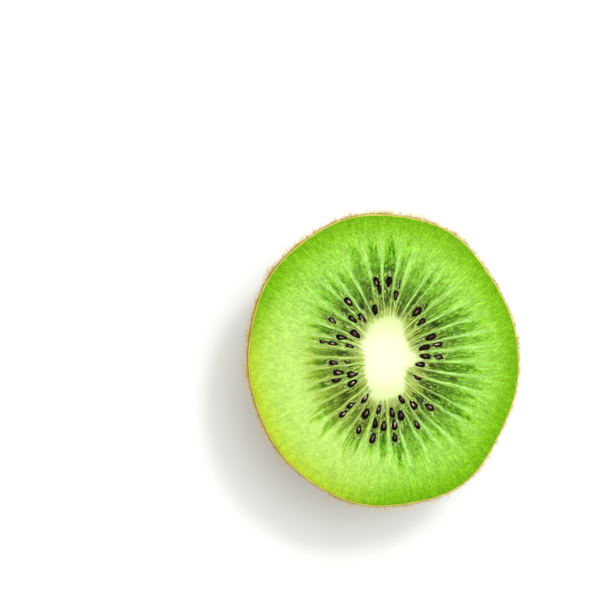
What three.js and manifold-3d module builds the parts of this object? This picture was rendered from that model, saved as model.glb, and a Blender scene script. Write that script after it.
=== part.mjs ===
// Half a kiwi fruit, cut across its middle and lying cut face up on its rounded end.
// Millimetres, +Z up. The origin is the middle of the small flat that the fruit rests on.
// +Z points to the cut face, and +Y runs along the longer way of that face.
import * as THREE from "three";
import { mergeVertices } from "three/addons/utils/BufferGeometryUtils.js";
import Module from "manifold-3d";

// ---- the whole half ----
const HEIGHT = 31; // resting flat to cut face
const MEAN_RADIUS = 26.45; // cut face, from its middle to the outside of the skin
const FLAT_RADIUS = 7.5; // the flat spot at the rounded end
const SIDE_FULLNESS = 2.2; // 2 makes the side an ellipse, more makes it blunter
const OUTLINE_WAVES = [
  // how often round, depth as a share of the radius, degrees from +X to a crest
  { count: 2, depth: 0.0434, crest: 90 },
  { count: 3, depth: 0.0032, crest: 50 },
  { count: 5, depth: 0.0046, crest: -3 },
  { count: 6, depth: 0.0049, crest: -4 },
  { count: 7, depth: 0.0036, crest: -8 },
  { count: 9, depth: 0.0045, crest: 15 },
];
const ROUNDER_END = 0.5; // share of the outline's waves that is gone at the rounded end
const DENTS = { count: 3, depth: 0.01, twist: 4 }; // shallow unevenness down the side

// ---- skin edge ----
const SKIN = 0.25; // width of the skin's cut edge
const SKIN_DROP = 0.2; // how far its outer corner lies below the cut face

// ---- pale core ----
const CORE = { halfWidth: 5, halfLength: 8, fullness: 1.45, turn: -8, x: 0.35, y: 0.3 };
const CORE_SINK = 0.05; // the core's edge below the cut face

// ---- seed chambers, parted by thin walls that run out from the core ----
const CHAMBERS = 38;
const WALL_SWAY = 0.5; // how far a wall strays, as a share of the chambers' spacing
const WALL_BEND = 9; // degrees that a wall turns on its way in, to meet the long core squarely
const CHAMBER_START = 0.7; // core edge to the full depth of a chamber
const CHAMBER_DEPTH = 0.42; // the soft chambers dry and sink below the cut
const WALL_DEPTH = 0.1; // the firmer walls between them hardly do
const REACH = { halfWidth: 16.2, halfLength: 20.6, x: 1.6, sway: 1.5 }; // outer ends
const COLUMNS_PER_CHAMBER = 3;

// ---- seeds ----
const SEED = { length: 2.1, width: 1.2, thickness: 0.9, taper: 0.35 };
const SEED_SINK = 0.35; // a seed's middle below the cut face
const SEED_ROWS = [0.34, 0.56, 0.34]; // chance of a seed in each row of a chamber
const SEED_START = 2.1; // core edge to the first row
const SEED_ROW_STEP = 2.5;
const SEED_SWAY = { out: 0.66, side: 0.3, size: 0.12, turn: 14 }; // mm, mm, share, degrees

// ---- fineness of the mesh, and the seeded draw ----
const SIDE_RINGS = 13;
const CHAMBER_RINGS = [1, 0.66, 0.33, 0]; // shares of the way from the core to the outer end
const CORE_RINGS = [1, 0.5, 0]; // shares of the way from the core's middle to its edge
const DRAW_START = 364857;
const DRAWS_SKIPPED = 3; // the first numbers after a small start are much alike

const TURN = Math.PI * 2;
const radians = THREE.MathUtils.degToRad;

/** Numbers from 0 to 1 that come out alike in every run. */
function seededDraw(start) {
  const multiplier = 1664525;
  const step = 1013904223;
  const range = 2 ** 32;
  let state = start;
  return () => {
    state = (state * multiplier + step) % range;
    return state / range;
  };
}

/** Distance from a superellipse's middle to its edge, at an angle. */
function ellipseEdge(angle, halfWidth, halfLength, fullness = 2) {
  const across = Math.abs(Math.cos(angle) / halfWidth) ** fullness;
  const along = Math.abs(Math.sin(angle) / halfLength) ** fullness;
  return (across + along) ** (-1 / fullness);
}

/** Outside of the skin at an angle, with its waves at full strength or less. */
function outline(angle, strength = 1) {
  const waves = OUTLINE_WAVES.reduce(
    (sum, w) => sum + w.depth * Math.cos(w.count * (angle - radians(w.crest))),
    0,
  );
  return MEAN_RADIUS * (1 + strength * waves);
}

/** Distance from the middle of the core to its edge, at an angle. */
function coreEdge(angle) {
  return ellipseEdge(angle - radians(CORE.turn), CORE.halfWidth, CORE.halfLength, CORE.fullness);
}

/** Mean distance from the middle of the core to the chambers' outer ends, at an angle. */
function chambersEnd(angle) {
  return ellipseEdge(angle, REACH.halfWidth, REACH.halfLength) + REACH.x * Math.cos(angle);
}

/** Where a wall or chamber lies, `part` from 0 at the core to 1 at the chambers' outer ends. */
function bent(angle, part) {
  const inward = (1 - THREE.MathUtils.clamp(part, 0, 1)) ** 1.5;
  return angle + radians(WALL_BEND) * inward * Math.sin(2 * (angle - radians(CORE.turn)));
}

/** Places a seed in the chamber at an angle, so far out from the core's edge. */
function seedPlace(chamber, out) {
  const length = chambersEnd(chamber) - coreEdge(chamber);
  const angle = bent(chamber, out / length);
  const further = bent(chamber, out / length + 0.01);
  const radius = coreEdge(angle) + out;
  return { angle, radius, lean: Math.atan2((further - angle) * radius, 0.01 * length) };
}

/** Walls and chambers, drawn first, then the seeds that lie in the chambers. */
function drawFruit() {
  const draw = seededDraw(DRAW_START);
  for (let k = 0; k < DRAWS_SKIPPED; k++) draw();
  const walls = Array.from(
    { length: CHAMBERS },
    (_, k) => ((k + WALL_SWAY * (draw() - 0.5)) * TURN) / CHAMBERS,
  );
  const seeds = [];
  for (let k = 0; k < CHAMBERS; k++) {
    const next = k + 1 < CHAMBERS ? walls[k + 1] : walls[0] + TURN;
    const middle = (walls[k] + next) / 2;
    SEED_ROWS.forEach((chance, row) => {
      const isHere = draw() < chance;
      const out = SEED_SWAY.out * (2 * draw() - 1);
      const side = SEED_SWAY.side * (2 * draw() - 1);
      const size = 1 + SEED_SWAY.size * (2 * draw() - 1);
      const sway = radians(SEED_SWAY.turn) * (2 * draw() - 1);
      const { angle, radius, lean } = seedPlace(middle, SEED_START + SEED_ROW_STEP * row + out);
      if (isHere) seeds.push({ angle, radius, side, size, turn: lean + sway });
    });
  }
  const reaches = walls.map(() => REACH.sway * (2 * draw() - 1));
  return { walls, seeds, reaches };
}

const fruit = drawFruit();

/** The mesh's columns: one on each wall, the others evenly between it and the next. */
const columns = fruit.walls.flatMap((wall, k) => {
  const next = k + 1 < CHAMBERS ? fruit.walls[k + 1] : fruit.walls[0] + TURN;
  return Array.from({ length: COLUMNS_PER_CHAMBER }, (_, part) => ({
    angle: wall + ((next - wall) * part) / COLUMNS_PER_CHAMBER,
    onWall: part === 0,
    reach: fruit.reaches[k],
  }));
});

/** Where the fruit's middle goes for the outline's box to be centred on the origin. */
function middleOfFruit() {
  const box = new THREE.Box2();
  for (const { angle } of columns) {
    const r = outline(angle);
    box.expandByPoint(new THREE.Vector2(r * Math.cos(angle), r * Math.sin(angle)));
  }
  return box.getCenter(new THREE.Vector2()).negate();
}

const fruitMiddle = middleOfFruit();
const coreMiddle = new THREE.Vector2(CORE.x, CORE.y).add(fruitMiddle);

/** A ring on the side, `bend` from 0 at the cut to 1 at the resting flat. */
function sideRing(bend) {
  const flatShare = FLAT_RADIUS / MEAN_RADIUS;
  const fullHeight = HEIGHT / (1 - flatShare ** SIDE_FULLNESS) ** (1 / SIDE_FULLNESS);
  const lastBend = Math.asin((HEIGHT / fullHeight) ** (SIDE_FULLNESS / 2));
  const drop = fullHeight * Math.sin(bend * lastBend) ** (2 / SIDE_FULLNESS);
  const share = Math.cos(bend * lastBend) ** (2 / SIDE_FULLNESS);
  return ({ angle }) => {
    const waves = 1 - ROUNDER_END * (1 - share);
    const away = Math.sin((Math.PI * drop) / HEIGHT); // no dents at the cut or the flat
    const wave = Math.sin(DENTS.count * angle + (DENTS.twist * drop) / HEIGHT);
    const radius = share * outline(angle, waves) * (1 + DENTS.depth * away * wave);
    return { radius, height: HEIGHT - drop };
  };
}

/** A ring in the chambers, `part` from 0 at the core to 1 at the chambers' outer ends. */
function chamberRing(part) {
  return (column) => {
    const angle = bent(column.angle, part);
    const inner = coreEdge(angle) + CHAMBER_START;
    const end = chambersEnd(angle) + column.reach;
    const depth = (column.onWall ? WALL_DEPTH : CHAMBER_DEPTH) * (1 - part ** 2);
    return { angle, radius: inner + (end - inner) * part, height: HEIGHT - depth };
  };
}

/** A ring in the core, `part` from 0 at its middle to 1 at its edge. */
function coreRing(part) {
  return (column) => {
    const angle = bent(column.angle, 0);
    const depth = part === 1 ? CORE_SINK : 0;
    return { angle, radius: coreEdge(angle) * part, height: HEIGHT - depth };
  };
}

/** A ring on the flesh, halfway from the chambers' outer ends to the skin. */
function fleshRing(column) {
  const skin = outline(column.angle) - SKIN;
  return { radius: (skin + chamberRing(1)(column).radius) / 2, height: HEIGHT };
}

/** All rings, from the middle of the resting flat up the side and in to the core. */
function ringsOfHalf() {
  const side = Array.from({ length: SIDE_RINGS }, (_, k) => sideRing(1 - (k + 0.5) / SIDE_RINGS));
  return [
    () => ({ radius: 0, height: 0 }),
    sideRing(1),
    ...side,
    ({ angle }) => ({ radius: outline(angle), height: HEIGHT - SKIN_DROP }),
    ({ angle }) => ({ radius: outline(angle) - SKIN, height: HEIGHT }),
    fleshRing,
    ...CHAMBER_RINGS.map(chamberRing),
    ...CORE_RINGS.map(coreRing),
  ];
}

/** The half as a lathe's turned form, with each point moved to the fruit's own outline. */
function halfGeometry() {
  const rings = ringsOfHalf();
  const profile = rings.map((ring) => {
    const { radius, height } = ring(columns[1]);
    return new THREE.Vector2(radius, height);
  });
  const geometry = new THREE.LatheGeometry(profile, columns.length);
  const points = geometry.getAttribute("position");
  for (let c = 0; c <= columns.length; c++) {
    const column = columns[c % columns.length];
    rings.forEach((ring, r) => {
      const { angle, radius, height } = ring(column); // core and chambers give their own angle
      const middle = angle === undefined ? fruitMiddle : coreMiddle;
      const x = radius * Math.cos(angle ?? column.angle) + middle.x;
      const y = radius * Math.sin(angle ?? column.angle) + middle.y;
      points.setXYZ(c * rings.length + r, x, y, height);
    });
  }
  return geometry;
}

/** One seed: a small drop lying flat, its pointed end towards the core. */
function seedGeometry({ angle, radius, side, size, turn }) {
  const drop = new THREE.OctahedronGeometry(1, 1);
  const points = drop.getAttribute("position");
  for (let p = 0; p < points.count; p++) {
    const girth = 1 + SEED.taper * points.getX(p);
    points.setXYZ(p, points.getX(p), points.getY(p) * girth, points.getZ(p) * girth);
  }
  return drop
    .scale((size * SEED.length) / 2, (size * SEED.width) / 2, (size * SEED.thickness) / 2)
    .rotateZ(turn)
    .translate(radius, side, HEIGHT - SEED_SINK)
    .rotateZ(angle)
    .translate(coreMiddle.x, coreMiddle.y, 0);
}

/** A closed geometry as a manifold-3d solid. */
function solidOf(wasm, geometry) {
  const bare = geometry.clone();
  bare.deleteAttribute("normal");
  bare.deleteAttribute("uv");
  const merged = mergeVertices(bare, 1e-4);
  const vertProperties = new Float32Array(merged.getAttribute("position").array);
  const triVerts = new Uint32Array(merged.index.array);
  return new wasm.Manifold(new wasm.Mesh({ numProp: 3, vertProperties, triVerts }));
}

/** A manifold-3d solid as a geometry with flat-shaded normals. */
function geometryOf(solid) {
  const mesh = solid.getMesh();
  const geometry = new THREE.BufferGeometry();
  geometry.setAttribute("position", new THREE.BufferAttribute(mesh.vertProperties, 3));
  geometry.setIndex(new THREE.BufferAttribute(mesh.triVerts, 1));
  geometry.computeVertexNormals();
  return geometry;
}

const wasm = await Module();
wasm.setup();
const bareHalf = solidOf(wasm, halfGeometry());
const seeds = fruit.seeds.map((seed) => solidOf(wasm, seedGeometry(seed)));
const half = new THREE.Mesh(
  geometryOf(wasm.Manifold.union([bareHalf, ...seeds])),
  new THREE.MeshStandardMaterial({ color: 0x9fd33a, roughness: 0.35, metalness: 0 }),
);
half.name = "kiwi_half";

const kiwi = new THREE.Group();
kiwi.add(half);
export default kiwi;
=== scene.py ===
"""Half a green kiwi fruit, lying cut face up: its flesh, seeds, skin, fuzz and stalk scar.

Metres, +Z up, in the frame of the solid half. The origin lies on the floor, under the middle of
the solid half's box, and +Y runs along the longer way of the cut face.
"""

import logging
import math
from abc import ABC, abstractmethod
from collections.abc import Mapping, Sequence
from dataclasses import dataclass, field, fields
from enum import StrEnum, auto
from functools import cached_property, reduce

import bpy
import numpy as np
from mathutils import Matrix, Vector


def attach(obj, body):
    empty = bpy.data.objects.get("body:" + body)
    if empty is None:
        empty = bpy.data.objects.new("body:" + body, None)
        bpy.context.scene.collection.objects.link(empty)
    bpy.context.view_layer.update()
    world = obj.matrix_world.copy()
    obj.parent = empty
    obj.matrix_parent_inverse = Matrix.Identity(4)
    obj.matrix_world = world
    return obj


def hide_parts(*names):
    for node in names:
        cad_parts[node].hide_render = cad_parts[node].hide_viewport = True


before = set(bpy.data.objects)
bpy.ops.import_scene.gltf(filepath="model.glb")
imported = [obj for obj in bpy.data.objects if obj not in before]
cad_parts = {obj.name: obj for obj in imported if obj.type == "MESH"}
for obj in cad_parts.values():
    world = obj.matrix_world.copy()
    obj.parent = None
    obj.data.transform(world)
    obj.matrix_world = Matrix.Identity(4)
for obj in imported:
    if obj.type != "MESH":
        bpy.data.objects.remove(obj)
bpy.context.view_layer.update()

MM = 0.001
FULL_TURN = 2 * math.pi
TINY = 1e-15  # keeps a division away from 0
HALF_NODE = "kiwi_half"
BODY = "root"
BAKE_MAP = "OFBake"  # a piece's own layout, which the fuzz's finish reads
BRIGHTEST = 255  # level of a dye's red, green or blue
TOE = 0.055  # offset and power of the curve from such levels to linear light
CURVE = 2.4

Array = np.ndarray
Dye = tuple[float, float, float, float]
Span = tuple[float, float]  # from and to
Line = tuple[float, float]  # slope, and value at 0
Stops = tuple[tuple[float, Dye], ...]
log = logging.getLogger("kiwi half")


class Slot(StrEnum):
    """The finishes that the record of the part names."""

    FLESH = auto()
    SEED = auto()
    SKIN = auto()
    FUZZ = auto()
    STALK_SCAR = auto()


def dye(*levels: int) -> Dye:
    """Turns a colour's three levels, as the eye reads them, into linear light for shaders."""
    return (*(((level / BRIGHTEST + TOE) / (1 + TOE)) ** CURVE for level in levels), 1.0)


# ---------------- sums for forms


def smooth(share: Array) -> Array:
    """Rounds off both ends of a straight run from 0 to 1."""
    return share * share * (3 - 2 * share)


def ease(start: float | Array, end: float, values: Array) -> Array:
    """Steps smoothly from 0 at start to 1 at end, whichever of the two is the larger."""
    return smooth(np.clip((values - start) / (end - start), 0.0, 1.0))


def hump(values: Array, width: float | Array) -> Array:
    """A soft peak of 1 at value 0 that has faded out two widths away."""
    return np.exp(-((values / width) ** 2))


def unit(vectors: Array) -> Array:
    """Brings vectors to length 1."""
    return vectors / np.maximum(np.linalg.norm(vectors, axis=-1, keepdims=True), TINY)


def polar(angle: Array, radius: float | Array, *height: float | Array) -> Array:
    """Turns directions and distances into flat points, or with a height into points in space."""
    parts = [radius * np.cos(angle), radius * np.sin(angle), *height]
    return np.stack(np.broadcast_arrays(*parts), axis=-1)


def spun(points: Array, angle: float) -> Array:
    """Turns points about +Z.

    Args:
        points: One row of x and y, or of x, y and z, for each point.
        angle: The turn in radians.

    Returns:
        The turned points.
    """
    c, s = math.cos(angle), math.sin(angle)
    turned = points.copy()
    turned[:, 0] = points[:, 0] * c - points[:, 1] * s
    turned[:, 1] = points[:, 0] * s + points[:, 1] * c
    return turned


def circle(columns: int) -> Array:
    """Directions in radians, evenly all the way round."""
    return np.arange(columns) / columns * FULL_TURN


def between(count: int, end: float) -> Array:
    """Places evenly spaced between 0 and an end, without those two."""
    return np.linspace(0, end, count + 2)[1:-1]


def ring_grid(rings: Array, columns: int) -> tuple[Array, Array]:
    """Pairs each ring's place with each column's direction, by ring and column."""
    place, turn = np.meshgrid(rings, circle(columns), indexing="ij")
    return place, turn


class SeededDraw:
    """Numbers from 0 to 1 that come out alike in every run, by the rule of the solid half."""

    MULTIPLIER = 1664525
    STEP = 1013904223
    RANGE = 2**32

    def __init__(self, start: int) -> None:
        """Begins the row of numbers at a start number."""
        self.state = start

    def next(self) -> float:
        """Gives the next number of the row."""
        self.state = (self.state * self.MULTIPLIER + self.STEP) % self.RANGE
        return self.state / self.RANGE

    def swing(self, reach: float) -> float:
        """Gives the next number, spread evenly between -reach and reach."""
        return reach * (2 * self.next() - 1)


class SmoothNoise:
    """Smooth seeded unevenness in space, for the bumps and colour shifts that meshes carry."""

    LATTICE = 32

    def __init__(self, seed: int, cell: float | Sequence[float]) -> None:
        """Fills the lattice, for bumps of one size in metres or one size along each axis."""
        self.cell = np.asarray(cell, float)
        self.values = np.random.default_rng(seed).random((self.LATTICE,) * 3)

    def at(self, points: Array) -> Array:
        """Reads the noise.

        Args:
            points: Places in metres, with x, y and z last.

        Returns:
            A value from -1 to 1 for each place.
        """
        spot = points / self.cell
        corner = np.floor(spot).astype(int)
        share = smooth(spot - corner)
        total = np.zeros(points.shape[:-1])
        for step in np.ndindex(2, 2, 2):
            weight = np.prod(np.where(step, share, 1 - share), axis=-1)
            i, j, k = np.moveaxis((corner + step) % self.LATTICE, -1, 0)
            total += weight * self.values[i, j, k]
        return 2 * total - 1


# ---------------- the fruit's form


@dataclass(frozen=True)
class Wave:
    """One wave of the outline: how often it comes round, its depth and where it crests."""

    count: int
    depth: float  # share of the radius
    crest: float  # degrees from +X


@dataclass(frozen=True)
class Oval:
    """An ellipse, or with a fullness other than 2 a superellipse, seen from its middle."""

    half_width: float
    half_length: float
    fullness: float = 2.0
    turn: float = 0.0  # degrees

    def edge(self, angle: Array) -> Array:
        """Measures from the middle to the edge, in directions in radians."""
        parts = polar(angle - math.radians(self.turn), 1.0) / (self.half_width, self.half_length)
        return (np.abs(parts) ** self.fullness).sum(axis=-1) ** (-1 / self.fullness)


@dataclass(frozen=True)
class FruitForm:
    """The outer form of the half, from the cut face down to the spot that it rests on."""

    height: float = 31 * MM
    mean_radius: float = 26.45 * MM
    flat_radius: float = 7.5 * MM
    side_fullness: float = 2.2
    rounder_end: float = 0.5  # share of the outline's waves that is gone at the rounded end
    dent_count: int = 3
    dent_depth: float = 0.01
    dent_twist: float = 4.0
    skin: float = 0.25 * MM  # width of the skin's cut edge
    skin_drop: float = 0.2 * MM  # how far its outer corner lies below the cut
    flat_softness: float = 0.35 * MM  # roundness of the edge of the resting flat
    slope_step: float = 1e-4  # how far apart the points lie that tell which way the skin faces
    waves: tuple[Wave, ...] = (
        Wave(2, 0.0434, 90),
        Wave(3, 0.0032, 50),
        Wave(5, 0.0046, -3),
        Wave(6, 0.0049, -4),
        Wave(7, 0.0036, -8),
        Wave(9, 0.0045, 15),
    )

    @property
    def full_height(self) -> float:
        """Cut face to where the rounded end would come to a point without its flat."""
        share = (self.flat_radius / self.mean_radius) ** self.side_fullness
        return self.height / (1 - share) ** (1 / self.side_fullness)

    def outline(self, angle: Array, strength: float | Array = 1.0) -> Array:
        """Outside of the skin round the cut, with its waves at full strength or less."""
        waves = sum(w.depth * np.cos(w.count * (angle - math.radians(w.crest))) for w in self.waves)
        return self.mean_radius * (1 + strength * waves)

    def side(self, angle: Array, sweep: Array) -> Array:
        """Finds points on the outside of the skin, about the fruit's own middle.

        Args:
            angle: Directions round the fruit in radians.
            sweep: The way down, from 0 at the cut to 1 underneath.

        Returns:
            One row of x, y and z for each point.
        """
        bend = sweep * math.pi / 2
        drop = self.full_height * np.sin(bend) ** (2 / self.side_fullness)
        share = np.maximum(np.cos(bend), 0) ** (2 / self.side_fullness)
        waves = 1 - self.rounder_end * (1 - share)
        away = np.sin(math.pi * np.minimum(drop / self.height, 1))
        dent = np.sin(self.dent_count * angle + self.dent_twist * drop / self.height)
        radius = share * self.outline(angle, waves) * (1 + self.dent_depth * away * dent)
        height = self.height - drop
        height = (height + np.sqrt(height**2 + self.flat_softness**2)) / 2
        return polar(angle, radius, height)

    def side_normal(self, angle: Array, sweep: Array) -> Array:
        """Finds which way the skin faces.

        Args:
            angle: Directions round the fruit in radians.
            sweep: The way down, from 0 at the cut to 1 underneath.

        Returns:
            One row of x, y and z, of length 1 and pointing out, for each point.
        """
        step = self.slope_step
        above, below = np.clip(sweep - step, 0, 1), np.clip(sweep + step, 0, 1)
        down = self.side(angle, below) - self.side(angle, above)
        around = self.side(angle + step, sweep) - self.side(angle - step, sweep)
        return unit(np.cross(down, around))


@dataclass(frozen=True)
class SeedPlace:
    """Where one seed lies: along its chamber, beside its middle line, and how it is turned."""

    angle: float
    radius: float
    side: float
    size: float
    turn: float


@dataclass(frozen=True)
class FruitPlan:
    """The inside of the fruit as the cut shows it, drawn by the rule of the solid half."""

    form: FruitForm = FruitForm()
    core: Oval = Oval(5 * MM, 8 * MM, 1.45, -8)
    core_offset: Span = (0.35 * MM, 0.3 * MM)
    reach: Oval = Oval(16.2 * MM, 20.6 * MM)
    reach_offset: float = 1.6 * MM
    reach_sway: float = 1.5 * MM
    chambers: int = 38
    wall_sway: float = 0.5
    wall_bend: float = 9.0  # degrees that a wall turns on its way in to the long core
    wall_bend_power: float = 1.5  # how soon that turn is gone on the way out
    unbend_rounds: int = 8
    columns_per_chamber: int = 3
    chamber_start: float = 0.7 * MM
    seed_rows: tuple[float, ...] = (0.34, 0.56, 0.34)
    seed_start: float = 2.1 * MM
    seed_row_step: float = 2.5 * MM
    seed_sway_out: float = 0.66 * MM
    seed_sway_side: float = 0.3 * MM
    seed_sway_size: float = 0.12
    seed_sway_turn: float = 14.0  # degrees
    seed_ahead: float = 0.01  # share of the way on to the point that a seed is turned towards
    draw_start: int = 364857
    draws_skipped: int = 3

    @cached_property
    def drawn(self) -> tuple[Array, list[SeedPlace], Array]:
        """Draws walls, seeds and the chambers' outer ends, in the order of the solid half.

        Returns:
            The walls' angles, the seeds' places, and how far each chamber over- or underreaches.
        """
        draw = SeededDraw(self.draw_start)
        for _ in range(self.draws_skipped):
            draw.next()
        spacing = FULL_TURN / self.chambers
        walls = np.array(
            [(k + self.wall_sway * (draw.next() - 0.5)) * spacing for k in range(self.chambers)]
        )
        seeds = []
        for middle in self.middles(walls):
            for row, chance in enumerate(self.seed_rows):
                is_here = draw.next() < chance
                out = draw.swing(self.seed_sway_out)
                side = draw.swing(self.seed_sway_side)
                size = 1 + draw.swing(self.seed_sway_size)
                turn = math.radians(draw.swing(self.seed_sway_turn))
                beyond = self.seed_start + self.seed_row_step * row + out
                if is_here:
                    seeds.append(self.seed_place(float(middle), beyond, side, size, turn))
        reaches = np.array([draw.swing(self.reach_sway) for _ in walls])
        return walls, seeds, reaches

    def seed_place(
        self, chamber: float, beyond: float, side: float, size: float, turn: float
    ) -> SeedPlace:
        """Places a seed in the bent chamber at an angle.

        Args:
            chamber: The chamber's angle.
            beyond: How far out from the core's edge the seed lies.
            side: How far it lies beside the chamber's middle line.
            size: Its size as a share of the usual one.
            turn: How far it is turned from the way that its chamber runs.

        Returns:
            Where the seed lies.
        """
        length = float(self.chambers_end(chamber) - self.core.edge(chamber))
        angle = float(self.bent(chamber, beyond / length))
        further = float(self.bent(chamber, beyond / length + self.seed_ahead))
        radius = float(self.core.edge(angle)) + beyond
        lean = math.atan2((further - angle) * radius, self.seed_ahead * length)
        return SeedPlace(angle, radius, side, size, turn + lean)

    def bent(self, angle: Array, part: Array) -> Array:
        """Turns a wall's or chamber's angle to where it lies, part 0 at the core to 1 outside."""
        bend = math.radians(self.wall_bend) * (1 - np.clip(part, 0, 1)) ** self.wall_bend_power
        return angle + bend * np.sin(2 * (angle - math.radians(self.core.turn)))

    def unbent(self, angle: Array, part: Array) -> Array:
        """Finds the angle that `bent` turns to a given one.

        Args:
            angle: Where points lie.
            part: Their share of the way out, from 0 at the core to 1 at the chambers' ends.

        Returns:
            The angles of the straight walls or chambers that run through the points.
        """
        found = angle
        for _ in range(self.unbend_rounds):
            found = angle + found - self.bent(found, part)
        return found

    @staticmethod
    def next_walls(walls: Array) -> Array:
        """Gives, for each wall, the angle of the next one round."""
        return np.append(walls[1:], walls[0] + FULL_TURN)

    @classmethod
    def middles(cls, walls: Array) -> Array:
        """Gives the angles halfway between the walls."""
        return (walls + cls.next_walls(walls)) / 2

    @cached_property
    def fruit_middle(self) -> Array:
        """Where the fruit's middle lies, so that the box of its outline is on the origin.

        Returns:
            Its x and y.
        """
        walls = self.drawn[0]
        parts = np.arange(self.columns_per_chamber) / self.columns_per_chamber
        angle = (walls[:, None] + (self.next_walls(walls) - walls)[:, None] * parts).ravel()
        points = polar(angle, self.form.outline(angle))
        return -(points.min(axis=0) + points.max(axis=0)) / 2

    @cached_property
    def core_middle(self) -> Array:
        """Where the middle of the core lies."""
        return self.fruit_middle + np.array(self.core_offset)

    def moved(self, points: Array) -> Array:
        """Moves points about the fruit's own middle to where the fruit lies."""
        return points + np.append(self.fruit_middle, 0.0)

    def chambers_end(self, angle: Array) -> Array:
        """Mean distance from the core's middle to the chambers' outer ends."""
        return self.reach.edge(angle) + self.reach_offset * np.cos(angle)


# ---------------- meshes


def ring_quads(columns: int, rings: int) -> Array:
    """Lists the faces between rings of points that lie one after the other.

    Args:
        columns: Points in a ring.
        rings: Number of rings.

    Returns:
        Four point numbers for each face.
    """
    ring = np.arange(rings - 1)[:, None] * columns
    column = np.arange(columns)[None, :]
    beside = (column + 1) % columns
    corners = [ring + column, ring + beside, ring + columns + beside, ring + columns + column]
    return np.stack(np.broadcast_arrays(*corners), axis=-1).reshape(-1, 4)


def fan(pole: int, ring_start: int, columns: int) -> Array:
    """Lists the triangles that close a ring of points, from its first, with a pole's point."""
    beside = ring_start + (np.arange(columns) + 1) % columns
    return np.stack([np.full(columns, pole), ring_start + np.arange(columns), beside], axis=-1)


def put(name: str, data: bpy.types.ID) -> bpy.types.Object:
    """Puts an object with its mesh, lamp or camera into the scene, at the origin."""
    bpy.context.scene.collection.objects.link(made := bpy.data.objects.new(name, data))
    return made


@dataclass
class Shape:
    """Points and faces of a mesh in the making, with the masks that its finish reads."""

    points: Array
    faces: list[Array]
    masks: dict[str, Array] = field(default_factory=dict)

    @classmethod
    def turned(cls, rings: Array, first: Sequence[float], last: Sequence[float]) -> "Shape":
        """Closes rings of points at both ends.

        Args:
            rings: Points by ring and column.
            first: The one point before the first ring.
            last: The one point after the last ring.

        Returns:
            The closed shape. Its points are the rings', then the first and the last one.
        """
        count, columns = rings.shape[:2]
        total = count * columns
        points = np.concatenate([rings.reshape(-1, 3), [first, last]])
        start = fan(total, 0, columns)
        end = fan(total + 1, total - columns, columns)[:, ::-1]
        return cls(points, [ring_quads(columns, count)[:, ::-1], start, end])

    @classmethod
    def joined(cls, shapes: Sequence["Shape"]) -> "Shape":
        """Joins shapes into one.

        Args:
            shapes: Shapes that have the same masks and the same kinds of faces.

        Returns:
            One shape with the points, faces and masks of all.
        """
        starts = np.cumsum([0] + [len(shape.points) for shape in shapes[:-1]])
        faces = [
            np.concatenate([shape.faces[kind] + start for shape, start in zip(shapes, starts)])
            for kind in range(len(shapes[0].faces))
        ]
        masks = {
            name: np.concatenate([shape.masks[name] for shape in shapes])
            for name in shapes[0].masks
        }
        return cls(np.concatenate([shape.points for shape in shapes]), faces, masks)

    def volume(self) -> float:
        """Measures the inside.

        Returns:
            Six times the volume, and negative where the faces point in.
        """
        total = 0.0
        for faces in self.faces:
            for k in range(1, faces.shape[1] - 1):
                a, b, c = (self.points[faces[:, i]] for i in (0, k, k + 1))
                total += float(np.einsum("ij,ij->", a, np.cross(b, c)))
        return total

    def piece(self, name: str, material: bpy.types.Material) -> bpy.types.Object:
        """Makes the mesh and its object.

        Args:
            name: Name of the piece.
            material: Its finish.

        Returns:
            The object, with its faces pointing out, smooth shading and all masks.
        """
        faces = self.faces if self.volume() > 0 else [f[:, ::-1] for f in self.faces]
        counts = np.concatenate([np.full(len(f), f.shape[1]) for f in faces])
        corners = np.concatenate([f.ravel() for f in faces])
        mesh = bpy.data.meshes.new(name)
        mesh.vertices.add(len(self.points))
        mesh.vertices.foreach_set("co", self.points.astype(np.float32).ravel())
        mesh.loops.add(len(corners))
        mesh.loops.foreach_set("vertex_index", corners.astype(np.int32))
        mesh.polygons.add(len(counts))
        starts = np.concatenate([[0], np.cumsum(counts)[:-1]])
        mesh.polygons.foreach_set("loop_start", starts.astype(np.int32))
        for mask, values in self.masks.items():
            kind, key = ("FLOAT", "value") if values.ndim == 1 else ("FLOAT_VECTOR", "vector")
            attribute = mesh.attributes.new(mask, kind, "POINT")
            attribute.data.foreach_set(key, values.astype(np.float32).ravel())
        mesh.update(calc_edges=True)
        mesh.shade_smooth()
        mesh.materials.append(material)
        return put(name, mesh)


def hand_over(piece: bpy.types.Object, slot: Slot) -> None:
    """Ties a piece to the half's body, hides the half's own node, and reports the piece with its
    finish.

    Args:
        piece: The piece that stands for a share of the solid half.
        slot: The finish that it is reported with.
    """
    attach(piece, BODY)
    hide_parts(HALF_NODE)
    piece.data.calc_loop_triangles()
    log.info("%s: %d triangles, %s", piece.name, len(piece.data.loop_triangles), slot.value)


# ---------------- wiring of the finishes


def add_node(
    tree: bpy.types.NodeTree,
    kind: str,
    sources: "Sources | None" = None,
    **settings: object,
) -> bpy.types.Node:
    """Adds a node to a tree.

    Args:
        tree: The tree of a material, a group or the surroundings.
        kind: Blender's name of the node type.
        sources: What goes into its sockets, by their names or places: a value or a wire.
        **settings: Values for the node's own properties.

    Returns:
        The node.
    """
    node = tree.nodes.new(kind)
    for name, value in settings.items():
        setattr(node, name, value)
    for key, source in (sources or {}).items():
        if isinstance(source, Wire):
            tree.links.new(source.socket, node.inputs[key])
        else:
            node.inputs[key].default_value = source
    return node


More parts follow.
